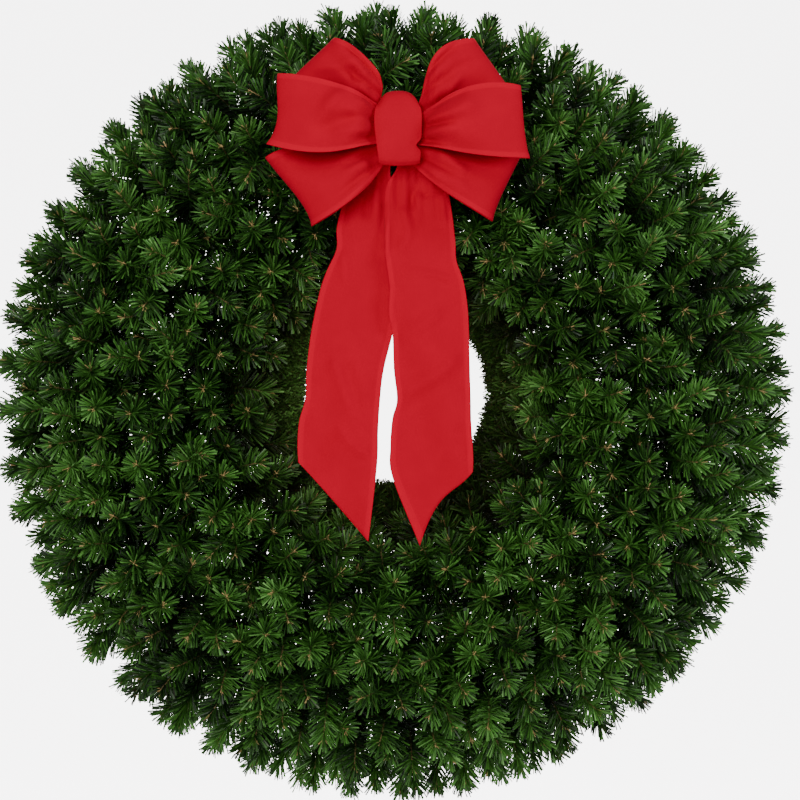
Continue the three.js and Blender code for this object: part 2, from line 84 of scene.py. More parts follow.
frame_pieces = []
for ring_radius in (OUTER_RING, INNER_RING):
    bpy.ops.mesh.primitive_torus_add(
        location=(0, ring_y, ring_z), rotation=(math.pi / 2, 0, 0), major_radius=ring_radius,
        minor_radius=WIRE_RADIUS, major_segments=144, minor_segments=12)
    bpy.ops.object.shade_smooth()
    frame_pieces.append(bpy.context.object)
for number in range(BAR_COUNT):
    bar_angle = 2 * math.pi * number / BAR_COUNT
    bpy.ops.mesh.primitive_cylinder_add(
        vertices=12, radius=WIRE_RADIUS, depth=OUTER_RING - INNER_RING + 2 * BAR_OVERHANG,
        location=place_on_ring((OUTER_RING + INNER_RING) / 2, -WIRE_RADIUS, bar_angle),
        rotation=(0, math.pi / 2 - bar_angle, 0))
    bar = bpy.context.object
    bevel = bar.modifiers.new("clipped_ends", "BEVEL")
    bevel.width = 0.0006
    bevel.segments = 2
    bpy.ops.object.modifier_apply(modifier=bevel.name)
    bpy.ops.object.shade_smooth_by_angle(angle=math.radians(40))
    frame_pieces.append(bar)
    for ring_radius in (OUTER_RING, INNER_RING):
        bpy.ops.mesh.primitive_uv_sphere_add(
            segments=12, ring_count=8, radius=BEAD_RADIUS, scale=(1.25, 0.62, 1.0),
            location=place_on_ring(ring_radius, ring_y + WIRE_RADIUS, bar_angle),
            rotation=(0, math.pi / 2 - bar_angle, 0))
        bpy.ops.object.shade_smooth()
        frame_pieces.append(bpy.context.object)
bpy.ops.object.select_all(action="DESELECT")
for piece in frame_pieces:
    piece.select_set(True)
wire_frame = frame_pieces[0]
bpy.context.view_layer.objects.active = wire_frame
bpy.ops.object.join()
bpy.ops.object.transform_apply(location=True, rotation=True, scale=True)
wire_frame.name = wire_frame.data.name = "wire_frame_enamelled"


def new_material(name):
    material = bpy.data.materials.new(name)
    material.use_nodes = True
    nodes = material.node_tree.nodes
    nodes.clear()
    output = nodes.new("ShaderNodeOutputMaterial")
    shader = nodes.new("ShaderNodeBsdfPrincipled")
    material.node_tree.links.new(shader.outputs["BSDF"], output.inputs["Surface"])
    return material, nodes, material.node_tree.links, shader


def ramp_of(nodes, stops):
    ramp = nodes.new("ShaderNodeValToRGB")
    elements = ramp.color_ramp.elements
    elements[0].position, elements[0].color = stops[0][0], (*stops[0][1], 1)
    elements[1].position, elements[1].color = stops[-1][0], (*stops[-1][1], 1)
    for position, colour in stops[1:-1]:
        elements.new(position).color = (*colour, 1)
    return ramp


def object_noise(nodes, links, scale, detail):
    coordinates = nodes.new("ShaderNodeTexCoord")
    noise = nodes.new("ShaderNodeTexNoise")
    noise.inputs["Scale"].default_value = scale
    noise.inputs["Detail"].default_value = detail
    links.new(coordinates.outputs["Object"], noise.inputs["Vector"])
    return noise


enamel, nodes, links, shader = new_material("green_enamel")
wear = object_noise(nodes, links, 90, 5)
ENAMEL_STOPS = [(0.0, (0.010, 0.022, 0.009)), (0.62, (0.017, 0.036, 0.014)), (0.70, (0.062, 0.048, 0.034))]
enamel_ramp = ramp_of(nodes, ENAMEL_STOPS)
links.new(wear.outputs["Fac"], enamel_ramp.inputs["Fac"])
links.new(enamel_ramp.outputs["Color"], shader.inputs["Base Color"])
shader.inputs["Roughness"].default_value = 0.42
shader.inputs["Metallic"].default_value = 0.0
wire_frame.data.materials.append(enamel)
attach(wire_frame, "root")
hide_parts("wire_frame")


# Needle sprays. Each is a twisted wire stem with flat, slightly twisted strips of green PVC caught in it, and
# ends in a short tan twist of bare wire and cut strips. The stems' lower ends are wound round the rings
# between the cross bars. One piece holds the sprays and the winding of one ring between two bars.
MM = 0.001
KNOT = np.array((8 * MM, -250 * MM, ring_z + 387 * MM))
# The rows run round the ring, the first one at the rim, the last one at the hole. A turn is a spray's angle
# in the ring's cross section, from outwards to inwards.
ROWS = 11
OUTER_ROWS = 6
FIRST_TURN = math.radians(6)
LAST_TURN = math.radians(174)
CREST_RADIUS = 375 * MM
RIM_REACH = 218 * MM
HOLE_REACH = 203 * MM
CREST_HEIGHT = 222 * MM
LEAST_RISE = 0.09
SPRAY_SPACING = 77 * MM
ROW_STAGGER = (0.25, 0.75)
PLACE_JITTER = 0.16
TURN_JITTER = 2.2
STRETCH = (0.97, 1.02)
NEEDLE_SPIN = 120
# Roots on the rings, and the zones in which the bow presses the sprays back
SECTOR = 2 * math.pi / BAR_COUNT
WINDING_TO_BAR = 12 * MM
ROOT_CLEARANCE = 4 * MM
PRESSED_DEPTH = 216 * MM
OPEN_DEPTH = 1.0
STEM_BELOW_NEEDLES = 22 * MM
PRESSED_ZONES = ((205 * MM, -155 * MM, 145 * MM), (160 * MM, -600 * MM, -155 * MM))
# Sprays between the rows
FILL_SPACING = 150 * MM
CREST_FILL_SPACING = 84 * MM
HOLE_FILL_SPACING = 110 * MM
CREST_FILL_TURNS = (math.radians(55), math.radians(130))
CROSSING_TURNS = (math.radians(70), math.radians(110))
FILL_TRIALS = 8
FILL_TURN_JITTER = 8
FILL_STRETCH = (0.93, 1.0)
# Needles, as numbers for each millimetre of stem, as sizes, and as angles in degrees from the stem
TIP_ZONE = 95 * MM
MOST_TIP_SHARE = 0.8
TIP_NEEDLES_PER_MM = 2.0
LOW_NEEDLES_PER_MM = 0.75
WOUND_NEEDLES_PER_MM = 1.8
BARE_ROOT = 24 * MM
NEEDLE_LENGTH = 31 * MM
NEEDLE_WIDTH = 2.6 * MM
GOLDEN_TURN = 2.39996
TIP_LEAN = 22
FACE_OPENING = 31
RIM_OPENING = 19
LEAN_SPREAD = 7
OPENED_AT = 24 * MM
# The needles are painted darker from their stem's end inwards: painted shade for the shade deep in the sprays
PAINTED_SHADE_FROM = 25 * MM
PAINTED_SHADE_OVER = 90 * MM
DEEPEST_PAINTED_SHADE = 0.5
# Stems, their windings and how they bend
STEM_RADIUS = 1.5 * MM
STEM_SHARES = np.array([0.02, 0.35, 0.7, 0.95, 1.0])
STEM_TAPER = np.array([1.3, 1.2, 1.1, 1.0, 0.6])
STEM_TAN = (0, 0, 0, 0.4, 1.0)
BARE_END = 5 * MM
WINDING_RADIUS = 6.2 * MM
WINDING_RIDGE = 0.9 * MM
WINDING_PITCH = 2.9 * MM
WALL_GAP = 1.5 * MM
RIM_TURN = math.radians(34)
RIM_EXTENSION = 3 * MM
RIM_SWAY = 0.09
FACE_SWAY = 0.14
BEND_SHARE = 0.6
FLARE = 0.25
CREST_FLARE = 0.4
ACROSS_ALL_STEMS = (0.13, 0.98, 0.11)

draw_seed = 2412


def draw(low, high):
    global draw_seed
    draw_seed = (draw_seed * 1664525 + 1013904223) % 4294967296
    return low + (high - low) * draw_seed / 4294967296


def row_at(row):
    """A row's turn, and how far it is round the ring. Half numbers lie between the rows."""
    turn = FIRST_TURN + (LAST_TURN - FIRST_TURN) * row / (ROWS - 1)
    reach = RIM_REACH if turn < math.pi / 2 else HOLE_REACH
    return turn, 2 * math.pi * (CREST_RADIUS + reach * math.cos(turn))


def depth_limit(x, z):
    """How far in front of the wall the needles may reach at x, z."""
    aside = abs(x - KNOT[0])
    up = z - KNOT[2]
    pressed = any(aside < half and low < up < high for half, low, high in PRESSED_ZONES)
    return PRESSED_DEPTH if pressed else OPEN_DEPTH


def spray_place(row_turn, angle, turn, stretch, is_edge):
    """The end of a spray that stands at an angle round the ring."""
    reach = RIM_REACH if row_turn < math.pi / 2 else HOLE_REACH
    radius = CREST_RADIUS + (1 if is_edge else stretch) * reach * math.cos(turn)
    y = ring_y - CREST_HEIGHT * stretch * max(math.sin(turn), LEAST_RISE)
    return np.array(place_on_ring(radius, y, angle))


def spray_at(ring, angle, turn, end):
    """The spray's root on its ring, kept off the cross bars, and its end, pressed back where the bow lies."""
    radius = OUTER_RING if ring == "outer" else INNER_RING
    angle = angle % (2 * math.pi)
    sector = int(angle / SECTOR)
    margin = (WINDING_TO_BAR + ROOT_CLEARANCE) / radius
    root_angle = min(max(angle, sector * SECTOR + margin), (sector + 1) * SECTOR - margin)
    root = np.array(place_on_ring(radius, ring_y, root_angle))
    limit = depth_limit(end[0], end[2]) - STEM_BELOW_NEEDLES
    if -end[1] > limit:
        end = end + (root - end) * (-end[1] - limit) / (root[1] - end[1])
    return {"ring": ring, "sector": sector, "turn": turn, "root": root, "end": end}


sprays = []
for row in range(ROWS):
    row_turn, row_length = row_at(row)
    count = round(row_length / SPRAY_SPACING)
    for number in range(count):
        angle = (number + ROW_STAGGER[row % 2] + draw(-PLACE_JITTER, PLACE_JITTER)) * 2 * math.pi / count
        turn = row_turn + math.radians(draw(-TURN_JITTER, TURN_JITTER))
        stretch = draw(*STRETCH)
        # The solid model's spray makes this draw too, so the next one stands in the same place
        draw(0, NEEDLE_SPIN)
        end = spray_place(row_turn, angle, turn, stretch, row in (0, ROWS - 1))
        sprays.append(spray_at("outer" if row < OUTER_ROWS else "inner", angle, turn, end))

# Further sprays fill the widest gaps between the rows, a little lower than their neighbours
for row in range(ROWS - 1):
    row_turn, row_length = row_at(row + 0.5)
    spacing = HOLE_FILL_SPACING if row == ROWS - 2 else FILL_SPACING
    if CREST_FILL_TURNS[0] < row_turn < CREST_FILL_TURNS[1]:
        spacing = CREST_FILL_SPACING
    count = round(row_length / spacing)
    for number in range(count):
        best = None
        for trial in range(FILL_TRIALS):
            angle = (number + draw(0, 1)) * 2 * math.pi / count
            turn = row_turn + math.radians(draw(-FILL_TURN_JITTER, FILL_TURN_JITTER))
            end = spray_place(row_turn, angle, turn, draw(*FILL_STRETCH), False)
            room = min(np.linalg.norm(end - other["end"]) for other in sprays)
            if best is None or room > best[0]:
                best = (room, angle, turn, end)
        is_crossing = CROSSING_TURNS[0] < row_turn < CROSSING_TURNS[1] and number % 2 == 0
        ring = "outer" if (best[2] < math.pi / 2) != is_crossing else "inner"
        sprays.append(spray_at(ring, *best[1:]))


def unit(vectors):
    return vectors / np.linalg.norm(vectors, axis=-1, keepdims=True)


# One needle, modelled as a strip whose far end is turned a quarter round and closed as a slim solid
bpy.ops.mesh.primitive_plane_add(size=1)
needle = bpy.context.object
bpy.ops.object.mode_set(mode="EDIT")
bpy.ops.mesh.select_mode(type="VERT")
bpy.ops.mesh.select_all(action="DESELECT")
bpy.ops.object.mode_set(mode="OBJECT")
for vertex in needle.data.vertices:
    vertex.select = vertex.co.x > 0
bpy.ops.object.mode_set(mode="EDIT")
bpy.ops.transform.rotate(value=math.pi / 2, orient_axis="X", center_override=(0.5, 0, 0))
bpy.ops.mesh.select_all(action="SELECT")
bpy.ops.mesh.delete(type="ONLY_FACE")
bpy.ops.mesh.select_all(action="SELECT")
bpy.ops.mesh.convex_hull()
bpy.ops.mesh.normals_make_consistent(inside=False)
bpy.ops.object.mode_set(mode="OBJECT")
needle_points = np.array([vertex.co for vertex in needle.data.vertices]) + (0.5, 0, 0)
needle_faces = np.array([list(face.vertices) for face in needle.data.polygons])
bpy.data.objects.remove(needle)

NEEDLE_SEED = 1225
random = np.random.RandomState(NEEDLE_SEED)


def stem_points(spray, shares):
    """Places and directions along a spray's gently curved stem, from its root at 0 to its end at 1."""
    a, b, c = spray["root"], spray["bend"], spray["end"]
    t = shares[:, None]
    places = (1 - t) ** 2 * a + 2 * t * (1 - t) * b + t ** 2 * c
    return places, unit(2 * (1 - t) * (b - a) + 2 * t * (c - b))


# A grid in the rings' plane notes what the needles hide from the camera
CELL = 1.5 * MM
GRID_HALF = 427
POINTS_A_NEEDLE = 20
hidden = np.zeros((2 * GRID_HALF + 1, 2 * GRID_HALF + 1), bool)


def mark_cover(points):
    start, end = (points[:, 0] + points[:, 2]) / 2, (points[:, 1] + points[:, 3]) / 2
    for share in np.linspace(0, 1, POINTS_A_NEEDLE):
        places = start + (end - start) * share
        scale = CAMERA_DISTANCE / (CAMERA_DISTANCE + places[:, 1] - ring_y) / CELL
        columns = np.rint(places[:, 0] * scale).astype(int) + GRID_HALF
        lines = np.rint((places[:, 2] - ring_z) * scale).astype(int) + GRID_HALF
        inside = (np.abs(columns - GRID_HALF) < GRID_HALF) & (np.abs(lines - GRID_HALF) < GRID_HALF)
        hidden[lines[inside], columns[inside]] = True


def add_needles(places, along, azimuths, leans, lengths, widths, tints, limit, parts):
    """Copies of the needle round a stem, at places along it and leaning away from it. A tint holds a needle's
    shade of green, its share of brown and its share of tan."""
    count = len(places)
    aside = unit(np.cross(along, ACROSS_ALL_STEMS))
    upright = np.cross(along, aside)
    outward = np.cos(azimuths)[:, None] * aside + np.sin(azimuths)[:, None] * upright
    direction = np.sin(leans)[:, None] * outward + np.cos(leans)[:, None] * along
    roll = random.uniform(0, 2 * math.pi, count)
    side = unit(np.cross(direction, outward + along * 0.31))
    other = np.cross(direction, side)
    flat = np.cos(roll)[:, None] * side + np.sin(roll)[:, None] * other
    thick = np.cross(direction, flat)
    base = places + outward * STEM_RADIUS * 0.7
    points = base[:, None, :]
    for axis, extents, sizes in ((0, direction, lengths), (1, flat, widths), (2, thick, widths)):
        points = points + needle_points[None, :, axis, None] * (sizes[:, None] * extents)[:, None, :]
    points[..., 1] = np.minimum(points[..., 1], -WALL_GAP)
    points[..., 1] = np.maximum(points[..., 1], -limit)
    shades = np.repeat(tints[:, None, :], len(needle_points), axis=1)
    # Each needle is painted lighter towards its far end: a painted highlight on the ends that stand out into
    # the light
    shades[:, needle_points[:, 0] > 0.5, 0] += 0.06
    corners = len(needle_points)
    parts.append((points.reshape(-1, 3), needle_faces, count, corners, shades.reshape(-1, 3), False))
    mark_cover(points)


def add_tube(places, along, radii, sides, tints, parts, ridges=0.0):
    """A closed tube through places, with the first and last ring drawn to a point."""
    rows = len(places)
    aside = unit(np.cross(along, ACROSS_ALL_STEMS))
    upright = np.cross(along, aside)
    around = 2 * math.pi * np.arange(sides) / sides
    circle = np.cos(around)[None, :, None] * aside[:, None, :]
    circle = circle + np.sin(around)[None, :, None] * upright[:, None, :]
    radius = np.repeat(radii[:, None], sides, axis=1)
    if ridges:
        phase = around[None, :] + np.arange(rows)[:, None] * math.pi / 2
        radius = radius + ridges * np.cos(phase)
    points = (places[:, None, :] + circle * radius[:, :, None]).reshape(-1, 3)
    points[:, 1] = np.minimum(points[:, 1], -WALL_GAP / 2)
    points = np.vstack([points, places[0], places[-1]])
    index = np.arange(rows * sides).reshape(rows, sides)
    turned = np.roll(index, -1, axis=1)
    low, high = index[:-1].ravel(), index[1:].ravel()
    low_next, high_next = turned[:-1].ravel(), turned[1:].ravel()
    faces = np.vstack([
        np.column_stack([low, low_next, high_next]),
        np.column_stack([low, high_next, high]),
        np.column_stack([turned[0], index[0], np.full(sides, rows * sides)]),
        np.column_stack([index[-1], turned[-1], np.full(sides, rows * sides + 1)]),
    ])
    shades = np.vstack([np.repeat(tints, sides, axis=0), tints[0], tints[-1]])
    parts.append((points, faces, 1, 0, shades, True))


def grow_spray(spray, parts, needles_per_mm=TIP_NEEDLES_PER_MM, tip_zone=TIP_ZONE):
    """A spray's stem, its needles from the end down to its bare root, and the cut strips at its end."""
    is_rim = spray["turn"] < RIM_TURN
    is_full = tip_zone == TIP_ZONE
    if is_rim:
        spray["end"] = spray["end"] + unit(spray["end"] - spray["root"]) * RIM_EXTENSION
    length = np.linalg.norm(spray["end"] - spray["root"])
    straight = (spray["end"] - spray["root"]) / length
    away = unit(spray["end"] * (1, 0, 1) - (0, 0, ring_z))
    sway = random.normal(0, RIM_SWAY if is_rim else FACE_SWAY, 3)
    sway = sway - FLARE * (math.cos(spray["turn"]) + CREST_FLARE) * away
    sway = (sway - straight * (sway @ straight)) * length
    spray["bend"] = spray["root"] + BEND_SHARE * (spray["end"] - spray["root"]) + sway
    limit = depth_limit(spray["end"][0], spray["end"][2])
    # Sprays round the hole are painted browner: painted shade with a painted reflection of the red bow
    painted_hole_browning = 0.3 * max(0.0, math.degrees(spray["turn"]) - 135) / 40
    greenness = random.normal(0.5, 0.07)

    tip_zone = min(tip_zone, MOST_TIP_SHARE * length)
    tip_count = int(tip_zone / MM * needles_per_mm)
    low_length = max(length - tip_zone - BARE_ROOT, 0) if is_full else 0
    low_count = int(low_length / MM * LOW_NEEDLES_PER_MM)
    tip_shares = (np.arange(tip_count) + random.uniform(0, 1, tip_count)) / tip_count
    low_shares = (np.arange(low_count) + random.uniform(0, 1, low_count)) / max(low_count, 1)
    distances = np.concatenate([tip_zone * tip_shares, tip_zone + low_length * low_shares])
    count = len(distances)
    opened = np.clip(distances / OPENED_AT, 0, 1)
    widest_opening = RIM_OPENING if is_rim else FACE_OPENING
    leans = np.radians(TIP_LEAN + widest_opening * opened ** 0.6 + random.normal(0, LEAN_SPREAD, count))
    lengths = NEEDLE_LENGTH * (0.66 + 0.36 * opened + random.normal(0, 0.07, count))
    lengths[tip_count:] *= 1.1
    widths = NEEDLE_WIDTH * random.uniform(0.75, 1.12, count)
    widths[tip_count:] *= 1.15
    azimuths = GOLDEN_TURN * np.arange(count) + random.uniform(-0.5, 0.5, count)
    azimuths = azimuths + random.uniform(0, 2 * math.pi)
    # Painted shade: needles farther in from the spray's end are painted darker
    painted_depth_shade = DEEPEST_PAINTED_SHADE * np.clip((distances - PAINTED_SHADE_FROM) / PAINTED_SHADE_OVER, 0, 1)
    greens = greenness + random.normal(0, 0.13, count) - painted_depth_shade
    browns = painted_hole_browning * random.uniform(0.5, 1.2, count)
    browns = browns + 0.25 * (random.uniform(0, 1, count) > 0.94)
    places, along = stem_points(spray, 1 - distances / length)
    tints = np.column_stack([greens, browns, np.zeros(count)])
    add_needles(places, along, azimuths, leans, lengths, widths, tints, limit, parts)

    cut_count = 6 if is_full else 3
    places, along = stem_points(spray, 1 - random.uniform(-3, 3, cut_count) * MM / length)
    azimuths = GOLDEN_TURN * np.arange(cut_count)
    leans = np.radians(random.uniform(12, 62, cut_count))
    lengths = random.uniform(5, 10, cut_count) * MM
    widths = random.uniform(1.3, 2.0, cut_count) * MM
    tans = random.uniform(0.45, 1.0, cut_count)
    tints = np.column_stack([np.full(cut_count, 0.6), np.full(cut_count, 0.2), tans])
    add_needles(places, along, azimuths, leans, lengths, widths, tints, limit, parts)

    places, along = stem_points(spray, STEM_SHARES)
    places[-1] = places[-1] + along[-1] * BARE_END
    rows = len(STEM_SHARES)
    tints = np.column_stack([np.full(rows, 0.3), np.full(rows, 0.75), STEM_TAN])
    add_tube(places, along, STEM_RADIUS * STEM_TAPER, 3, tints, parts)


def ring_course(radius, angles):
    """Places and directions along a ring's wire."""
    across, up, level = np.cos(angles), np.sin(angles), np.zeros(len(angles))
    places = np.column_stack([radius * across, level + ring_y, ring_z + radius * up])
    return places, np.column_stack([-up, level, across])


def add_winding(ring, sector, parts):
    """The stems' lower ends, wound round a ring between two bars, with the needles that stick out of them."""
    radius = OUTER_RING if ring == "outer" else INNER_RING
    margin = WINDING_TO_BAR / radius
    steps = int((SECTOR * radius - 2 * WINDING_TO_BAR) / WINDING_PITCH)
    angles = np.linspace(sector * SECTOR + margin, (sector + 1) * SECTOR - margin, steps + 1)
    places, along = ring_course(radius, angles)
    radii = np.full(steps + 1, WINDING_RADIUS - WINDING_RIDGE)
    shades = 0.32 + 0.14 * np.cos(np.arange(steps + 1) * 1.3)
    tints = np.column_stack([shades, np.full(steps + 1, 0.55), np.zeros(steps + 1)])
    add_tube(places, along, radii, 5, tints, parts, ridges=WINDING_RIDGE)

    count = int(SECTOR * radius / MM * WOUND_NEEDLES_PER_MM)
    places, along = ring_course(radius, random.uniform(angles[0], angles[-1], count))
    greens, browns = random.uniform(0.15, 0.4, count), random.uniform(0, 0.3, count)
    tints = np.column_stack([greens, browns, np.zeros(count)])
    # Most of them lie towards the space between the two rings
    crowding = 1.7 if ring == "inner" else 0.59
    azimuths = np.radians(195 - 210 * random.uniform(0, 1, count) ** crowding)
    leans = np.radians(random.uniform(60, 120, count))
    lengths = NEEDLE_LENGTH * random.uniform(1.0, 1.35, count)
    widths = NEEDLE_WIDTH * random.uniform(1.0, 1.2, count)
    add_needles(places, along, azimuths, leans, lengths, widths, tints, OPEN_DEPTH, parts)


def mesh_from_parts(name, parts):
    """One mesh from all the parts, each a block of points with its faces, repeated for each copy in it."""
    points, faces, tints, smooth = [], [], [], []
    offset = 0
    for part_points, part_faces, copies, stride, part_tints, is_smooth in parts:
        steps = offset + stride * np.arange(copies)
        faces.append((part_faces[None, :, :] + steps[:, None, None]).reshape(-1, 3))
        points.append(part_points)
        tints.append(part_tints)
        smooth.append(np.full(len(faces[-1]), is_smooth))
        offset += len(part_points)
    points, faces = np.vstack(points), np.vstack(faces)
    tints, smooth = np.vstack(tints), np.concatenate(smooth)
    mesh = bpy.data.meshes.new(name)
    mesh.vertices.add(len(points))
    mesh.vertices.foreach_set("co", points.astype(np.float32).ravel())
    mesh.loops.add(3 * len(faces))
    mesh.loops.foreach_set("vertex_index", faces.astype(np.int32).ravel())
    mesh.polygons.add(len(faces))
    mesh.polygons.foreach_set("loop_start", np.arange(0, 3 * len(faces), 3, dtype=np.int32))
    mesh.polygons.foreach_set("use_smooth", smooth)
    mesh.update(calc_edges=True)
    tint = mesh.color_attributes.new("needle_tint", "FLOAT_COLOR", "POINT")
    colours = np.ones((len(points), 4), np.float32)
    colours[:, :3] = np.clip(tints, 0, 1)
    tint.data.foreach_set("color", colours.ravel())
    piece = bpy.data.objects.new(name, mesh)
    bpy.context.scene.collection.objects.link(piece)
    return piece


# Green PVC, each strip a slightly different green, with painted shade and a painted reflection of the red bow
# turning it brownish round the hole, and tan where it is cut
NEEDLE_GREENS = [
    (0.0, (0.001, 0.004, 0.001)), (0.30, (0.004, 0.017, 0.002)), (0.50, (0.018, 0.070, 0.006)),
    (0.72, (0.066, 0.205, 0.028)), (1.0, (0.19, 0.42, 0.11)),
]
NEEDLE_BROWN = (0.050, 0.036, 0.016)
CUT_END_TAN = (0.46, 0.31, 0.13)


def feed(links, socket, value):
    """Gives a socket a number, a colour or another node's result."""
    if isinstance(value, tuple):
        socket.default_value = (*value, 1)
    elif isinstance(value, float):
        socket.default_value = value
    else:
        links.new(value, socket)


def mixed(nodes, links, factor, first, second):
    """The first colour, turned into the second as the factor rises."""
    mix = nodes.new("ShaderNodeMix")
    mix.data_type = "RGBA"
    for socket, value in (("Factor", factor), ("A", first), ("B", second)):
        feed(links, mix.inputs[socket], value)
    return mix.outputs["Result"]


def reckoned(nodes, links, operation, *values):
    """The result of an operation on numbers and other nodes' results."""
    node = nodes.new("ShaderNodeMath")
    node.operation = operation
    for socket, value in zip(node.inputs, values):
        feed(links, socket, value)
    return node.outputs["Value"]


needle_green, nodes, links, shader = new_material("needle_green")
tint = nodes.new("ShaderNodeAttribute")
tint.attribute_name = "needle_tint"
channels = nodes.new("ShaderNodeSeparateColor")
links.new(tint.outputs["Color"], channels.inputs["Color"])
greens = ramp_of(nodes, NEEDLE_GREENS)
mottle = object_noise(nodes, links, 9, 2)
lowered = reckoned(nodes, links, "SUBTRACT", channels.outputs["Red"], 0.15)
shade = reckoned(nodes, links, "MULTIPLY_ADD", mottle.outputs["Fac"], 0.30, lowered)
links.new(shade, greens.inputs["Fac"])
browned = mixed(nodes, links, channels.outputs["Green"], greens.outputs["Color"], NEEDLE_BROWN)
tanned = mixed(nodes, links, channels.outputs["Blue"], browned, CUT_END_TAN)
links.new(tanned, shader.inputs["Base Color"])
shader.inputs["Roughness"].default_value = 0.48
shader.inputs["Specular IOR Level"].default_value = 0.35

bunches = {(ring, sector): [] for ring in ("outer", "inner") for sector in range(BAR_COUNT)}
for (ring, sector), parts in bunches.items():
    add_winding(ring, sector, parts)
for spray in sprays:
    grow_spray(spray, bunches[spray["ring"], spray["sector"]])

# Lower sprays close the places where the background would still show between the first ones. The widest open
# places come first. Each is tried once, and those of one round lie well apart.
FULL_INFILLS = 190
SHORT_INFILLS = 376
INFILLS_A_ROUND = 6
ROUND_SPACING = 70 * MM
TRIED_RADIUS = 7 * MM
SEEN_HOLE_RADIUS = 138 * MM
SEEN_HOLE_CENTRE = np.array((4 * MM, 14 * MM))
OUTER_LIMIT = 568 * MM
LEAST_END_RADIUS = 156 * MM
INFILL_BEYOND = 18 * MM
SHORT_BEYOND = 0.6 * INFILL_BEYOND
INFILL_HEIGHTS = (0.45, 0.75)
SHORT_HEIGHTS = (0.18, 0.5)
LEAST_HEIGHT = 14 * MM
SHORT_TIP_ZONE = 48 * MM
INFILL_NEEDLES_PER_MM = 1.7
WINDOW = 14
cell_at = np.arange(-GRID_HALF, GRID_HALF + 1) * CELL
cell_x, cell_z = np.meshgrid(cell_at, cell_at)
to_hole = np.hypot(cell_x - SEEN_HOLE_CENTRE[0], cell_z - SEEN_HOLE_CENTRE[1])
is_ring = (to_hole > SEEN_HOLE_RADIUS) & (np.hypot(cell_x, cell_z) < OUTER_LIMIT)


def window_sum(values):
    """Each cell's sum of the cells around it."""
    for axis in (0, 1):
        sums = np.cumsum(values, axis=axis)
        values = np.roll(sums, -WINDOW, axis=axis) - np.roll(sums, WINDOW + 1, axis=axis)
    return values


is_untried = is_ring.copy()
for number in range(FULL_INFILLS + SHORT_INFILLS):
    is_short = number >= FULL_INFILLS
    if number % INFILLS_A_ROUND == 0:
        openness = window_sum(window_sum(np.where(is_ring & ~hidden, 1.0, 0.0))) * is_untried
    widest = np.argmax(openness)
    place = np.array((cell_x.flat[widest], cell_z.flat[widest]))
    away = np.hypot(cell_x - place[0], cell_z - place[1])
    openness[away < ROUND_SPACING] = 0
    is_untried[away < TRIED_RADIUS] = False
    # Its end stands a little farther from the rings than the open place, and clear of the hole
    from_centre = math.hypot(*place)
    beyond = SHORT_BEYOND if is_short else INFILL_BEYOND
    beyond = beyond if from_centre > INNER_RING else -beyond
    place = place * ((from_centre + beyond) / from_centre) - SEEN_HOLE_CENTRE
    place = place * max(1.0, LEAST_END_RADIUS / math.hypot(*place)) + SEEN_HOLE_CENTRE
    from_centre = math.hypot(*place)
    reach = RIM_REACH if from_centre > CREST_RADIUS else HOLE_REACH
    side = min(abs(from_centre - CREST_RADIUS) / reach, 1)
    height_share = draw(*(SHORT_HEIGHTS if is_short else INFILL_HEIGHTS))
    height = max(CREST_HEIGHT * math.sqrt(1 - side ** 2) * height_share, LEAST_HEIGHT)
    nearer = (CAMERA_DISTANCE - height) / CAMERA_DISTANCE
    end = np.array((place[0] * nearer, ring_y - height, ring_z + place[1] * nearer))
    radius = math.hypot(end[0], end[2] - ring_z)
    ring = "outer" if radius > (OUTER_RING + INNER_RING) / 2 else "inner"
    if INNER_RING < radius < OUTER_RING and number % 2 == 0:
        ring = "inner" if ring == "outer" else "outer"
    turn = math.acos(max(-1.0, min(1.0, (radius - CREST_RADIUS) / reach)))
    spray = spray_at(ring, math.atan2(place[1], place[0]), turn, end)
    tip_zone = SHORT_TIP_ZONE if is_short else TIP_ZONE
    grow_spray(spray, bunches[ring, spray["sector"]], INFILL_NEEDLES_PER_MM, tip_zone)

for (ring, sector), parts in bunches.items():
    bunch = mesh_from_parts(f"needle_sprays_{ring}_{sector + 1:02d}", parts)
    bunch.data.materials.append(needle_green)
    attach(bunch, "root")
    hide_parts(f"sprays_{ring}_{sector + 1:02d}")


# Bow, middle loops. One length of red velvet ribbon, 114 mm wide with a wire sewn into each hem, folded into
# a loop on each side of the knot. It is gathered under the knot and lies in front of the other four loops.
# The bow's places are in millimetres right of, behind and above the knot's middle.
RIBBON_WIDTH = 114
RIBBON_THICKNESS = 2.0
HEM_COLUMNS = (0, 1.6, 4.2, 7.0, 8.4, 10.4)
HEM_FULLNESS = (0.7, 0.9, 0.85, 0.8, 0.42, 0.55)
BODY_COLUMNS = 19
BODY_FULLNESS = 0.55
FRONT_ROWS = 44
BACK_ROWS = 20
HALF_BAND = FRONT_ROWS + BACK_ROWS
BAND_ROWS = 2 * HALF_BAND
LAYER_PITCH = 2.4
LEAN_FROM_KNOT = (22, 84)
BACK_NARROWING = 0.05
BACK_ARCH = 0.45
FOLDS_SHOW_FROM = (34, 49)
# The highest value of t * t * (1 - t), and what makes that value one
HUMP_PEAK = 0.148
HUMP_SCALE = 6.75
# A pair of loops: its layer behind the knot's middle, how far it leans back, how far its front and back puff
# out, how much of that its hems keep, where between the hems and how far from the knot that turns, how far
# the cloth arches between the hems and near which of them, and how strongly its folds show. Then, for each
# side, the upper and the lower hem from the knot outwards, and how far the loop's end dips in.
MIDDLE_LOOPS = {
    "layer": -1, "lean": -22, "front_puff": 18, "back_puff": 1, "upper_puff": 1, "lower_puff": 1,
    "puff_turn": (0, 1), "puff_rise": (15, 60), "arch": 17, "skew": 1.5, "relief": 2.2,
    "left": (((0, 20), (-40, 30), (-56, 63), (-169, 73)),
             ((0, -20), (-34, -14), (-84, -62), (-185, -26)), 9.5),
    "right": (((0, 20), (46, -2), (62, 74), (172, 56)), ((0, -20), (45, -26), (104, -50), (185, -46)), 2.5),
}
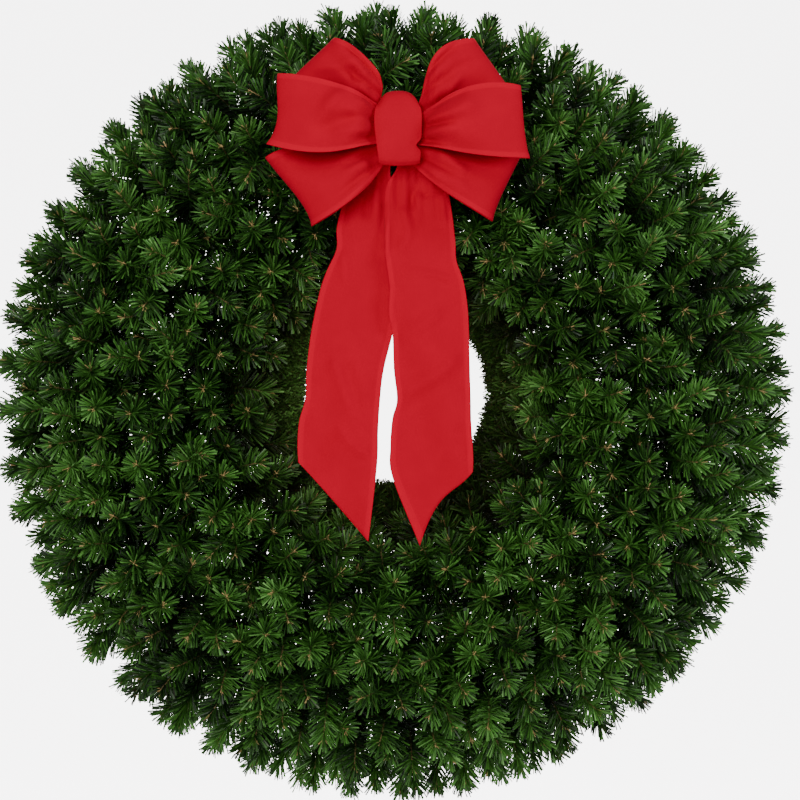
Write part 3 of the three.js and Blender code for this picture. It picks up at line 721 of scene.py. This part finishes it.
# Folds on the front, each a line in the bow's plane, its height at both ends and its width at both ends
MIDDLE_FOLDS = [
    (((-102, 9), (-96, 26), (-82, 43), (-71, 47), (-57, 40), (-42, 29), (-33, 19)), 3.5, 3.5, 10, 5),
    (((-85, 15), (-68, 18), (-51, 12), (-37, 2)), 1.5, 3.5, 8, 4),
    (((-99, 1), (-71, 5)), -6, -5, 15, 11),
    (((-76, -23), (-51, -10), (-34, -1)), 1.5, 4, 7, 3.5),
    (((-71, -32), (-51, -22), (-33, -16)), -1, -3, 5, 3),
    (((-57, -32), (-33, -20)), 1, 3, 5, 3),
    (((34, 12), (51, 18)), -3, -1, 3, 4),
    (((34, 0), (56, 1), (76, 2)), -3.5, -1.5, 3.5, 5),
    (((35, -19), (58, -19)), -3, -1.5, 3, 4),
    (((37, 6), (73, 12), (96, 26)), 4, 4.5, 4, 13),
    (((37, -10), (73, -8)), 3.5, 2, 4, 8),
    (((37, -28), (73, -30)), 2.5, 1, 3, 6),
    (((53, 26), (73, 38), (90, 46)), -2, -1.5, 4, 5),
]


def smooth_step(low, high, value):
    """A smooth rise from 0 at low to 1 at high."""
    share = np.clip((value - low) / (high - low), 0, 1)
    return share * share * (3 - 2 * share)


def bezier(points, s):
    a, b, c, d = np.array(points, float)[:, None, :]
    t = s[:, None]
    return (1 - t) ** 3 * a + 3 * (1 - t) ** 2 * t * b + 3 * (1 - t) * t ** 2 * c + t ** 3 * d


def catmull_rom(stations, t):
    """Values on a smooth course through stations, at t from 0 to the last station's number."""
    stations = np.array(stations, float)
    padded = np.vstack([2 * stations[0] - stations[1], stations, 2 * stations[-1] - stations[-2]])
    first = np.clip(t.astype(int), 0, len(stations) - 2)
    f = (t - first)[:, None]
    a, b, c, d = (padded[first + step] for step in range(4))
    curved, twisted = 2 * a - 5 * b + 4 * c - d, 3 * b - a - 3 * c + d
    return 0.5 * (2 * b + (c - a) * f + curved * f ** 2 + twisted * f ** 3)


def edge_course(points, s):
    """A loop's edge: a Bezier curve of four points, or a smooth course through more of them."""
    return bezier(points, s) if len(points) == 4 else catmull_rom(points, s * (len(points) - 1))


def fold_height(x, z, folds):
    """How far the folds push the cloth forward at x, z."""
    total = np.zeros(len(x))
    for line, first_height, last_height, first_width, last_width in folds:
        line = np.array(line, float)
        for _ in range(3):
            # Each round cuts the line's corners
            quarter = 0.75 * line[:-1] + 0.25 * line[1:]
            three_quarters = 0.25 * line[:-1] + 0.75 * line[1:]
            line = np.vstack([line[:1], np.stack([quarter, three_quarters], 1).reshape(-1, 2), line[-1:]])
        steps = np.linalg.norm(np.diff(line, axis=0), axis=1)
        gone = np.concatenate([[0], np.cumsum(steps)]) / steps.sum()
        nearest = np.full(len(x), 1e9)
        share = np.zeros(len(x))
        for a, b, start, end in zip(line[:-1], line[1:], gone[:-1], gone[1:]):
            along = b - a
            t = np.clip(((x - a[0]) * along[0] + (z - a[1]) * along[1]) / (along @ along), 0, 1)
            distance = np.hypot(x - a[0] - t * along[0], z - a[1] - t * along[1])
            closer = distance < nearest
            nearest[closer] = distance[closer]
            share[closer] = (start + (end - start) * t)[closer]
        width = first_width + (last_width - first_width) * share
        total += (first_height + (last_height - first_height) * share) * np.exp(-(nearest / width) ** 2)
    return total


PLEAT_HEIGHT = 4.5
PLEAT_GAIN = 4
LEAST_PLEAT = 0.8
PLEAT_SPACING = 11.5
PLEAT_FANNING = 0.30
CREASE_SHARPNESS = 1.8


def gathers(x, z):
    """Pleats that fan out from the knot, alike in all layers, so that these lie in each other."""
    from_knot = np.abs(x)
    height = PLEAT_HEIGHT * smooth_step(4, 20, from_knot) + PLEAT_GAIN * smooth_step(36, 52, from_knot)
    height = LEAST_PLEAT + height * (1 - smooth_step(50, 100, from_knot))
    spacing = PLEAT_SPACING + PLEAT_FANNING * from_knot
    phase = 2 * math.pi * z / spacing + 1.4 + 0.8 * np.tanh(x / 10)
    return height * (1 - (0.5 - 0.5 * np.cos(phase)) ** CREASE_SHARPNESS)


def make_ribbon(name, rows, place, columns=None, fullness=None):
    """A strip of ribbon, its point at u of the length and v of the width lying at place(u, v)."""
    if columns is None:
        body = np.linspace(HEM_COLUMNS[-1], RIBBON_WIDTH - HEM_COLUMNS[-1], BODY_COLUMNS + 2)[1:-1]
        far_hem = RIBBON_WIDTH - np.array(HEM_COLUMNS[::-1])
        columns = np.concatenate([HEM_COLUMNS, body, far_hem]) / RIBBON_WIDTH
        fullness = np.concatenate([HEM_FULLNESS, np.full(BODY_COLUMNS, BODY_FULLNESS), HEM_FULLNESS[::-1]])
    bpy.ops.mesh.primitive_grid_add(x_subdivisions=rows, y_subdivisions=len(columns) - 1, size=1)
    ribbon = bpy.context.object
    ribbon.name = name
    mesh = ribbon.data
    mesh.name = name
    flat = np.array([vertex.co for vertex in mesh.vertices]) + 0.5
    column = np.rint(flat[:, 1] * (len(columns) - 1)).astype(int)
    u, v = flat[:, 0], columns[column]
    points = KNOT + MM * place(u, v)
    mesh.vertices.foreach_set("co", points.ravel())
    corners = np.array([corner.vertex_index for corner in mesh.loops])
    mesh.uv_layers.active.data.foreach_set("uv", np.column_stack([u, v])[corners].ravel())
    # The hems are fuller than the cloth between them
    group = ribbon.vertex_groups.new(name="fullness")
    for number, share in enumerate(fullness):
        group.add(np.flatnonzero(column == number).tolist(), float(share), "REPLACE")
    bpy.ops.object.mode_set(mode="EDIT")
    bpy.ops.mesh.select_all(action="SELECT")
    bpy.ops.mesh.remove_doubles(threshold=0.02 * MM)
    bpy.ops.mesh.normals_make_consistent(inside=False)
    bpy.ops.object.mode_set(mode="OBJECT")
    cloth = ribbon.modifiers.new("cloth", "SOLIDIFY")
    cloth.thickness = RIBBON_THICKNESS * MM
    cloth.offset = 0
    cloth.vertex_group = group.name
    bpy.ops.object.modifier_apply(modifier=cloth.name)
    bpy.ops.object.shade_smooth()
    ribbon.data.materials.append(red_velvet)
    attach(ribbon, "root")
    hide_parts(name.replace("_velvet", ""))
    return ribbon


def loop_band(pair, folds):
    """Places on a pair of loops: out along a front and home behind it, on the left and then on the right."""
    def place(u, v):
        row = u * BAND_ROWS
        turn = np.interp(row, (0, FRONT_ROWS, HALF_BAND, HALF_BAND + BACK_ROWS, BAND_ROWS),
                         (0, math.pi, 2 * math.pi, math.pi, 0))
        is_front = turn <= math.pi
        s = (1 - np.cos(turn)) / 2
        behind = smooth_step(math.pi, 1.35 * math.pi, turn)
        across = 0.5 + (v - 0.5) * (1 - BACK_NARROWING * behind)
        plan = np.zeros((len(u), 2))
        for side, inward, chosen in (("left", 1, row < HALF_BAND), ("right", -1, row >= HALF_BAND)):
            upper_edge, lower_edge, dip = pair[side]
            upper, lower = edge_course(upper_edge, s), edge_course(lower_edge, s)
            lain = upper + (lower - upper) * across[:, None]
            lain[:, 0] += inward * dip / HUMP_PEAK * across ** 2 * (1 - across) * s ** 4
            plan[chosen] = lain[chosen]
        x, z = plan.T
        from_knot = np.hypot(x, z)
        lower_share = smooth_step(*pair["puff_turn"], v)
        puff = pair["upper_puff"] + (pair["lower_puff"] - pair["upper_puff"]) * lower_share
        puff = puff + (1 - puff) * smooth_step(0.7, 1, s)
        puff = puff * np.where(is_front, pair["front_puff"], -pair["back_puff"])
        rounding = np.abs(np.sin(turn)) * np.sin(turn / 2) ** 3 / 0.6
        bulge = puff * rounding * smooth_step(*pair["puff_rise"], from_knot)
        y = LAYER_PITCH * (pair["layer"] - np.cos(turn / 2) / 2) - bulge
        y = y + pair["lean"] * smooth_step(*LEAN_FROM_KNOT, from_knot)
        hump = HUMP_SCALE * v ** pair["skew"] * (1 - v) ** (3 - pair["skew"])
        arch = pair["arch"] * np.where(is_front, 1, BACK_ARCH) * hump
        y = y - gathers(x, z) - arch * smooth_step(0.2, 0.5, s) * (1 - smooth_step(0.6, 0.95, s))
        shown = np.where(is_front, smooth_step(0, 0.12, 1 - s), 0) * smooth_step(*FOLDS_SHOW_FROM, np.abs(x))
        return np.column_stack([x, y - pair["relief"] * shown * fold_height(x, z, folds), z])
    return place


# Bright red velvet: a fine pile, a slightly lighter hem and a sewn groove beside it
VELVET_RED = (0.45, 0.001, 0.018)
VELVET_SHADE = (0.38, 0.001, 0.015)
VELVET_HEM = (0.485, 0.001, 0.020)
HEM_STOPS = [
    (0.410, (0, 0, 0)), (0.420, (0.15, 0.15, 0.15)), (0.425, (0, 0, 0)), (0.432, (0.8, 0.8, 0.8)),
    (0.5, (1, 1, 1)),
]
red_velvet, nodes, links, shader = new_material("red_velvet")
cloth_places = nodes.new("ShaderNodeTexCoord")
cloth_axes = nodes.new("ShaderNodeSeparateXYZ")
links.new(cloth_places.outputs["UV"], cloth_axes.inputs["Vector"])
from_middle = reckoned(nodes, links, "SUBTRACT", cloth_axes.outputs["Y"], 0.5)
hem = ramp_of(nodes, HEM_STOPS)
links.new(reckoned(nodes, links, "ABSOLUTE", from_middle), hem.inputs["Fac"])
cloudy = object_noise(nodes, links, 28, 3)
mottled = mixed(nodes, links, cloudy.outputs["Fac"], VELVET_SHADE, VELVET_RED)
hemmed = mixed(nodes, links, hem.outputs["Color"], mottled, VELVET_HEM)
links.new(hemmed, shader.inputs["Base Color"])
pile = object_noise(nodes, links, 700, 2)
bump = nodes.new("ShaderNodeBump")
bump.inputs["Strength"].default_value = 0.25
bump.inputs["Distance"].default_value = 0.0006
links.new(pile.outputs["Fac"], bump.inputs["Height"])
links.new(bump.outputs["Normal"], shader.inputs["Normal"])
shader.inputs["Roughness"].default_value = 0.85
shader.inputs["Specular IOR Level"].default_value = 0.05
shader.inputs["Sheen Weight"].default_value = 0.08
shader.inputs["Sheen Roughness"].default_value = 0.4
shader.inputs["Sheen Tint"].default_value = (1.0, 0.22, 0.26, 1)

middle_loops = make_ribbon("bow_loops_middle_velvet", BAND_ROWS, loop_band(MIDDLE_LOOPS, MIDDLE_FOLDS))


# Bow, top loops. A second length of the same ribbon in a pair of loops that stand up behind the middle pair.
# Both lengths are gathered on top of each other under the knot.
TOP_LOOPS = {
    "layer": 1.5, "lean": 1, "front_puff": 25, "back_puff": 4, "upper_puff": 1, "lower_puff": 0.2,
    "puff_turn": (0.35, 0.95), "puff_rise": (22, 84), "arch": 6, "skew": 1, "relief": 1.4,
    "left": (((0, 20), (-15, 28), (-24, 42), (-22, 60), (-29, 79), (-50, 101), (-73, 119), (-91, 128)),
             ((0, -20), (-38, -14), (-92, 14), (-171, 53)), 0),
    "right": (((0, 20), (62, 16), (4, 116), (108, 127)), ((0, -20), (38, -14), (98, 8), (169, 41)), 0),
}
TOP_FOLDS = [
    (((-133, 83), (-88, 83), (-73, 87), (-55, 95)), 1, 4, 5, 6),
    (((-62, 77), (-62, 57)), -5, -5, 6, 5),
    (((-40, 69), (-36, 38)), -2.5, -3, 3, 3),
    (((-48, 74), (-42, 43)), 3.5, 3.5, 5, 3.5),
    (((46, 83), (45, 32)), 3, 3, 3, 3),
    (((54, 83), (53, 30)), 3.5, 3, 3.5, 3),
    (((86, 69), (73, 49)), 3.5, 3.5, 6, 4),
    (((70, 97), (90, 95), (115, 108)), 2.5, 2, 4, 6),
]
top_loops = make_ribbon("bow_loops_top_velvet", BAND_ROWS, loop_band(TOP_LOOPS, TOP_FOLDS))


# Bow, low loops. A third length of the same ribbon in a pair of loops that hang behind the other two. Under
# the knot it lies on the gathered tails.
LOW_LOOPS = {
    "layer": 4.13, "lean": 4, "front_puff": 31, "back_puff": 3, "upper_puff": 0.05, "lower_puff": 1,
    "puff_turn": (0.08, 0.65), "puff_rise": (22, 84), "arch": 6, "skew": 2, "relief": 1.5,
    "left": (((0, 20), (-40, 18), (-100, -2), (-189, -40)),
             ((0, -20), (-30, -58), (-28, -92), (-123, -138)), 7.6),
    "right": (((0, 20), (40, 18), (100, 0), (179, -28)), ((0, -20), (20, -58), (56, -90), (134, -131)), 3),
}
LOW_FOLDS = [
    (((-42, -56), (-40, -44), (-31, -33)), 3.5, 3, 5, 3),
    (((-183, -47), (-166, -39)), 2, 2, 6, 6),
    (((-90, -58), (-68, -61), (-51, -53)), 2, 3, 7, 5),
    (((51, -39), (39, -44)), -4, -3, 5, 4),
    (((59, -34), (76, -47), (90, -61)), 3, 4, 4, 6),
    (((84, -75), (96, -92)), 2, 2, 7, 7),
    (((39, -58), (62, -84)), 3, 2, 4, 5),
]
low_loops = make_ribbon("bow_loops_low_velvet", BAND_ROWS, loop_band(LOW_LOOPS, LOW_FOLDS))


# Bow tails. Two lengths of the same ribbon, gathered under the knot and hanging in front of the hole. The
# right one lies over the left one at the top, and each ends in a slanted cut. A station holds the left hem's
# place, the right hem's place and the depth.
TAIL_ROWS = 110
COURSE_STEPS = 300
TAIL_WAVE = 4
TAIL_PLEAT = 2.2
TAIL_PLEAT_SPACING = 19
TAIL_RELIEF = 1.6
LEFT_CUT_HOLLOW = 1
RIGHT_CUT_HOLLOW = 22
LEFT_TAIL = (
    (-33, 25, -4.6, 25, 15.2), (-33, -30, -6, -30, 15.2), (-54, -56, -11.5, -56, 22), (-76, -82, -6, -80, 29),
    (-82, -112, 13, -112, 28), (-88, -141, 20, -141, 24), (-88, -170, 22, -170, 19),
    (-102, -202, 14, -205, 15), (-112, -232, 6, -232, 13), (-124, -290, -8, -292, 8),
    (-130.5, -346, -21, -345, 6), (-131.5, -382, -26, -389, 6), (-140.5, -415, -28.5, -430, 7),
    (-143, -447, -30, -480, 8), (-142, -474, -42.4, -587, 10),
)
RIGHT_TAIL = (
    (3.5, 25, 30, 25, 15.2), (3.5, -30, 28, -30, 15.2), (-3, -56, 44, -54, 19.5), (-17, -80, 68, -80, 23.5),
    (-19, -112, 76, -112, 21), (-18.5, -155, 81.5, -158, 15), (-17.5, -182, 83, -187, 9),
    (-12, -227, 93, -217, 4), (-13.5, -260, 99, -256, 2), (-8, -292, 101, -300, 1), (-6, -342, 102, -345, 0),
    (-1.5, -385, 103, -385, -1), (-8, -412, 103.5, -415, -1), (-11, -452, 105.5, -447, 0),
    (-8, -495, 106.5, -470, 1), (31, -593, 106, -487, 5),
)
TAIL_FOLDS = [
    (((-45, -82), (-45, -118)), -4, -3, 6, 7),
    (((-56, -90), (-58, -125)), 3, 2, 6, 8),
    (((-33, -85), (-36, -135)), 3, 2, 5, 7),
    (((-20, -104), (-20, -139)), -3.5, -2, 5, 5),
    (((-78, -181), (-75, -216)), 3, 2, 7, 7),
    (((-92, -333), (-82, -361), (-71, -389)), 2.5, 2, 7, 9),
    (((-70, -340), (-58, -395)), -2.5, -2, 9, 9),
    (((-82, -431), (-64, -452), (-47, -460)), 2.5, 3, 6, 6),
    (((-100, -440), (-104, -462)), -2, -2, 8, 8),
    (((-15, -132), (-16, -174)), 3, 4, 5, 6),
    (((-11, -230), (-11, -273)), 3, 3, 6, 6),
    (((8, -118), (18, -146), (4, -168)), 3, 3, 7, 7),
    (((28, -52), (29, -78), (20, -92), (20, -106)), -6, -4, 3, 5),
    (((30, -86), (45, -92), (58, -86)), -3, -2.5, 4, 4),
    (((40, -62), (48, -78)), 1, 1.5, 7, 8),
    (((10, -202), (52, -206), (73, -213)), 1.5, 2.5, 4, 4),
    (((10, -294), (52, -266)), 2, 2.5, 9, 9),
    (((17, -371), (59, -347), (80, -329)), 3, 3, 9, 8),
    (((20, -395), (84, -360)), -2, -2, 12, 12),
    (((88, -432), (92, -462)), -2, -2, 8, 8),
    (((60, -90), (66, -130)), 3, 2, 5, 6),
]


def tail_band(stations, hollow_cut):
    """Places on a tail, whose cut end is hollowed by hollow_cut."""
    def place(u, v):
        steps = np.linspace(0, len(stations) - 1, COURSE_STEPS)
        course = catmull_rom(stations, steps)
        middle = course[:, :2] + course[:, 2:4]
        gone = np.concatenate([[0], np.cumsum(np.linalg.norm(np.diff(middle, axis=0), axis=1))])
        left, left_z, right, right_z, y = catmull_rom(stations, np.interp(u * gone[-1], gone, steps)).T
        x = left + (right - left) * v
        z = left_z + (right_z - left_z) * v
        z = z + hollow_cut * HUMP_SCALE * v * (1 - v) ** 2 * smooth_step(0.8, 1, u)
        below = np.clip(-(z + 80) / 200, 0, 1)
        wave = TAIL_WAVE * below * np.sin(2 * math.pi * (v + z / 400))
        pleated = smooth_step(-38, -62, z) * (1 - smooth_step(-80, -150, z))
        pleats = TAIL_PLEAT * pleated * np.cos(x * 2 * math.pi / TAIL_PLEAT_SPACING)
        folds = TAIL_RELIEF * fold_height(x, z, TAIL_FOLDS) * smooth_step(-40, -70, z)
        return np.column_stack([x, y + wave + pleats - folds, z])
    return place


left_tail = make_ribbon("bow_tail_left_velvet", TAIL_ROWS, tail_band(LEFT_TAIL, LEFT_CUT_HOLLOW))
right_tail = make_ribbon("bow_tail_right_velvet", TAIL_ROWS, tail_band(RIGHT_TAIL, RIGHT_CUT_HOLLOW))


# Bow knot. A short length of the same ribbon, its edges folded behind it, laid over the top and front of the
# gathered loops. Its lower end is turned under and sewn, which shows as two lines. A station of its course,
# which runs up behind, over the top and down the front, holds half its width, its depth and its height.
KNOT_ROWS = 80
KNOT_COURSE = (
    (15, 21.5, -18), (16, 21.5, 20), (17, 15, 42), (20, 0, 50.5), (28, -19, 42), (33.5, -27, 15),
    (32, -28, -20), (29.5, -25, -46), (28.5, -15, -52.5),
)
KNOT_END = len(KNOT_COURSE) - 1
FRONT_SHARE = 0.3
EDGE_ROUNDING = 1.6
TUCK_DEPTH = 2.4
TUCK_TURN = 0.06
TUCK_MEETS = 3
KNOT_CROWN = 2.5
TOP_ROUNDING = 9
KNOT_SHIFT = 2
NOTCH_DEPTH = 7
NOTCH_Z = -27
SEWN_LINES = ((0.05, 0.008), (0.015, 0.01))
KNOT_FOLDS = [
    (((-26, -16), (-6, 4)), 1.5, 1, 6, 6),
    (((-29, 30), (-24, 44)), -1.5, -1.5, 4, 4),
    (((6, 38), (10, 10)), 1, 1, 9, 9),
    (((24, -24), (14, -34)), -2, -1, 4, 5),
]


def knot_band(u, v):
    t = (1 - (1 - u) ** 1.3) * KNOT_END
    half, y, z = catmull_rom(KNOT_COURSE, t).T
    ahead = catmull_rom(KNOT_COURSE, np.minimum(t + 0.01, KNOT_END))
    back = catmull_rom(KNOT_COURSE, np.maximum(t - 0.01, 0))
    along = unit(ahead[:, 1:] - back[:, 1:])
    aside = (v - 0.5) / FRONT_SHARE
    over = np.clip((np.abs(aside) - 1) * FRONT_SHARE / (0.5 - FRONT_SHARE), 0, 1)
    x = np.sign(aside) * (np.minimum(np.abs(aside), 1) * half - over * (half - TUCK_MEETS))
    tucked = TUCK_DEPTH * np.sqrt(np.clip(over / TUCK_TURN, 0, 1))
    inset = EDGE_ROUNDING * smooth_step(0.72, 1, np.abs(aside)) + tucked
    crown = KNOT_CROWN * smooth_step(2, 4, t) * (1 - np.clip(np.abs(x) / half, 0, 1) ** 2) * (over == 0)
    z = z - TOP_ROUNDING * np.clip(np.abs(x) / 29, 0, 1) ** 3 * smooth_step(20, 46, z)
    from_end = 1 - t / KNOT_END
    sewn = sum(np.exp(-((from_end - line) / width) ** 2) for line, width in SEWN_LINES)
    folds = fold_height(x, z, KNOT_FOLDS) * (y < -6) * (over == 0)
    raised = crown + sewn + folds - inset
    x = x + KNOT_SHIFT * smooth_step(10, -50, z)
    x = x - NOTCH_DEPTH * np.clip(x / half, 0, 1) ** 3 * np.exp(-((z - NOTCH_Z) / 6) ** 2) * (y < 0)
    return np.column_stack([x, y + raised * along[:, 1], z - raised * along[:, 0]])


half_columns = [0, 0.06, 0.13, 0.17, 0.19, 0.197, 0.203, 0.21, 0.23, 0.26, 0.30, 0.34, 0.38, 0.42, 0.46]
knot_columns = np.concatenate([half_columns, [0.5], 1 - np.array(half_columns[::-1])])
knot_fullness = np.full(len(knot_columns), BODY_FULLNESS)
knot = make_ribbon("bow_knot_velvet", KNOT_ROWS, knot_band, knot_columns, knot_fullness)


# Bow tie wire. Green enamelled wire twisted tight round the gathered ribbons, with its ends hooked round the
# inner ring, so that it holds the bow on the frame.
TIE_RADIUS = 1.0
TIE_SIDES = 8
TIE_AT_KNOT = [
    (-2.6, 13, -20), (-1.5, 13, 17), (0, 10, 26.5), (0, -4, 25.5), (0, -7.2, 14), (0, -7.2, -14),
    (0, -4, -26), (0, 10, -27), (0, 26, -34),
]
TIE_HOOK_REACH = 4.9
HOOK_ANGLES = (110, 70, 30, -10, -50, -90)
RUN_IN = (-24, 10)
wire_y = (ring_y - KNOT[1]) / MM
wire_top = (ring_z + INNER_RING - KNOT[2]) / MM - 1.6
tie_stations = TIE_AT_KNOT + [(0, wire_y + RUN_IN[0], wire_top + RUN_IN[1])]
for hook_angle in HOOK_ANGLES:
    hook = math.radians(hook_angle)
    hooked = (0, wire_y + TIE_HOOK_REACH * math.cos(hook), wire_top + TIE_HOOK_REACH * math.sin(hook))
    tie_stations.append(hooked)
tie_share = np.linspace(0, len(tie_stations) - 1, 8 * (len(tie_stations) - 1) + 1)
tie_places = catmull_rom(tie_stations, tie_share)
tie_along = unit(np.gradient(tie_places, axis=0))
tie_parts = []
tie_radii = np.full(len(tie_places), TIE_RADIUS * MM)
tie_tints = np.full((len(tie_places), 3), 0.3)
add_tube(KNOT + MM * tie_places, tie_along, tie_radii, TIE_SIDES, tie_tints, tie_parts)
tie_wire = mesh_from_parts("bow_tie_wire_enamelled", tie_parts)
tie_wire.data.materials.append(enamel)
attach(tie_wire, "root")
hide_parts("bow_tie_wire")


# Stage. A pale floor, a bright backdrop far behind the wreath, and soft light from a large lamp in front and
# a smaller one on the right.
FLOOR_Z = ring_z - 2.0
FLOOR_SIZE = 60
BACKDROP_SIZE = 7
BACKDROP_Y = 6.2
bpy.ops.mesh.primitive_plane_add(size=FLOOR_SIZE, location=(0, 0, FLOOR_Z))
floor = bpy.context.object
floor.name = "floor"
pale, nodes, links, shader = new_material("pale_floor")
shader.inputs["Base Color"].default_value = (0.84, 0.83, 0.83, 1)
shader.inputs["Roughness"].default_value = 0.9
floor.data.materials.append(pale)

bpy.ops.mesh.primitive_plane_add(
    size=BACKDROP_SIZE, location=(0, BACKDROP_Y, FLOOR_Z + BACKDROP_SIZE / 2), rotation=(math.pi / 2, 0, 0))
backdrop = bpy.context.object
backdrop.name = "backdrop"
glow, nodes, links, shader = new_material("backdrop_glow")
shader.inputs["Base Color"].default_value = (0.8, 0.79, 0.79, 1)
shader.inputs["Emission Color"].default_value = (1.0, 0.985, 0.985, 1)
shader.inputs["Emission Strength"].default_value = 5.5
backdrop.data.materials.append(glow)

world = bpy.data.worlds.new("pale_room")
world.use_nodes = True
world.node_tree.nodes["Background"].inputs["Color"].default_value = (0.90, 0.89, 0.89, 1)
world.node_tree.nodes["Background"].inputs["Strength"].default_value = 0.28
bpy.context.scene.world = world


def add_lamp(name, place, size, power, colour):
    """A soft lamp, turned towards the rings' centre."""
    bpy.ops.object.light_add(type="AREA", location=place)
    lamp = bpy.context.object
    lamp.name = name
    lamp.data.shape = "SQUARE"
    lamp.data.size = size
    lamp.data.energy = power
    lamp.data.color = colour
    lamp.rotation_euler = (Vector((0, 0, ring_z)) - Vector(place)).to_track_quat("-Z", "Y").to_euler()


add_lamp("key_lamp", (-0.9, -4.4, 0.5), 2.6, 195, (1.0, 0.98, 0.95))
add_lamp("window_lamp", (2.8, -1.6, 1.9), 1.2, 60, (0.86, 0.93, 1.0))
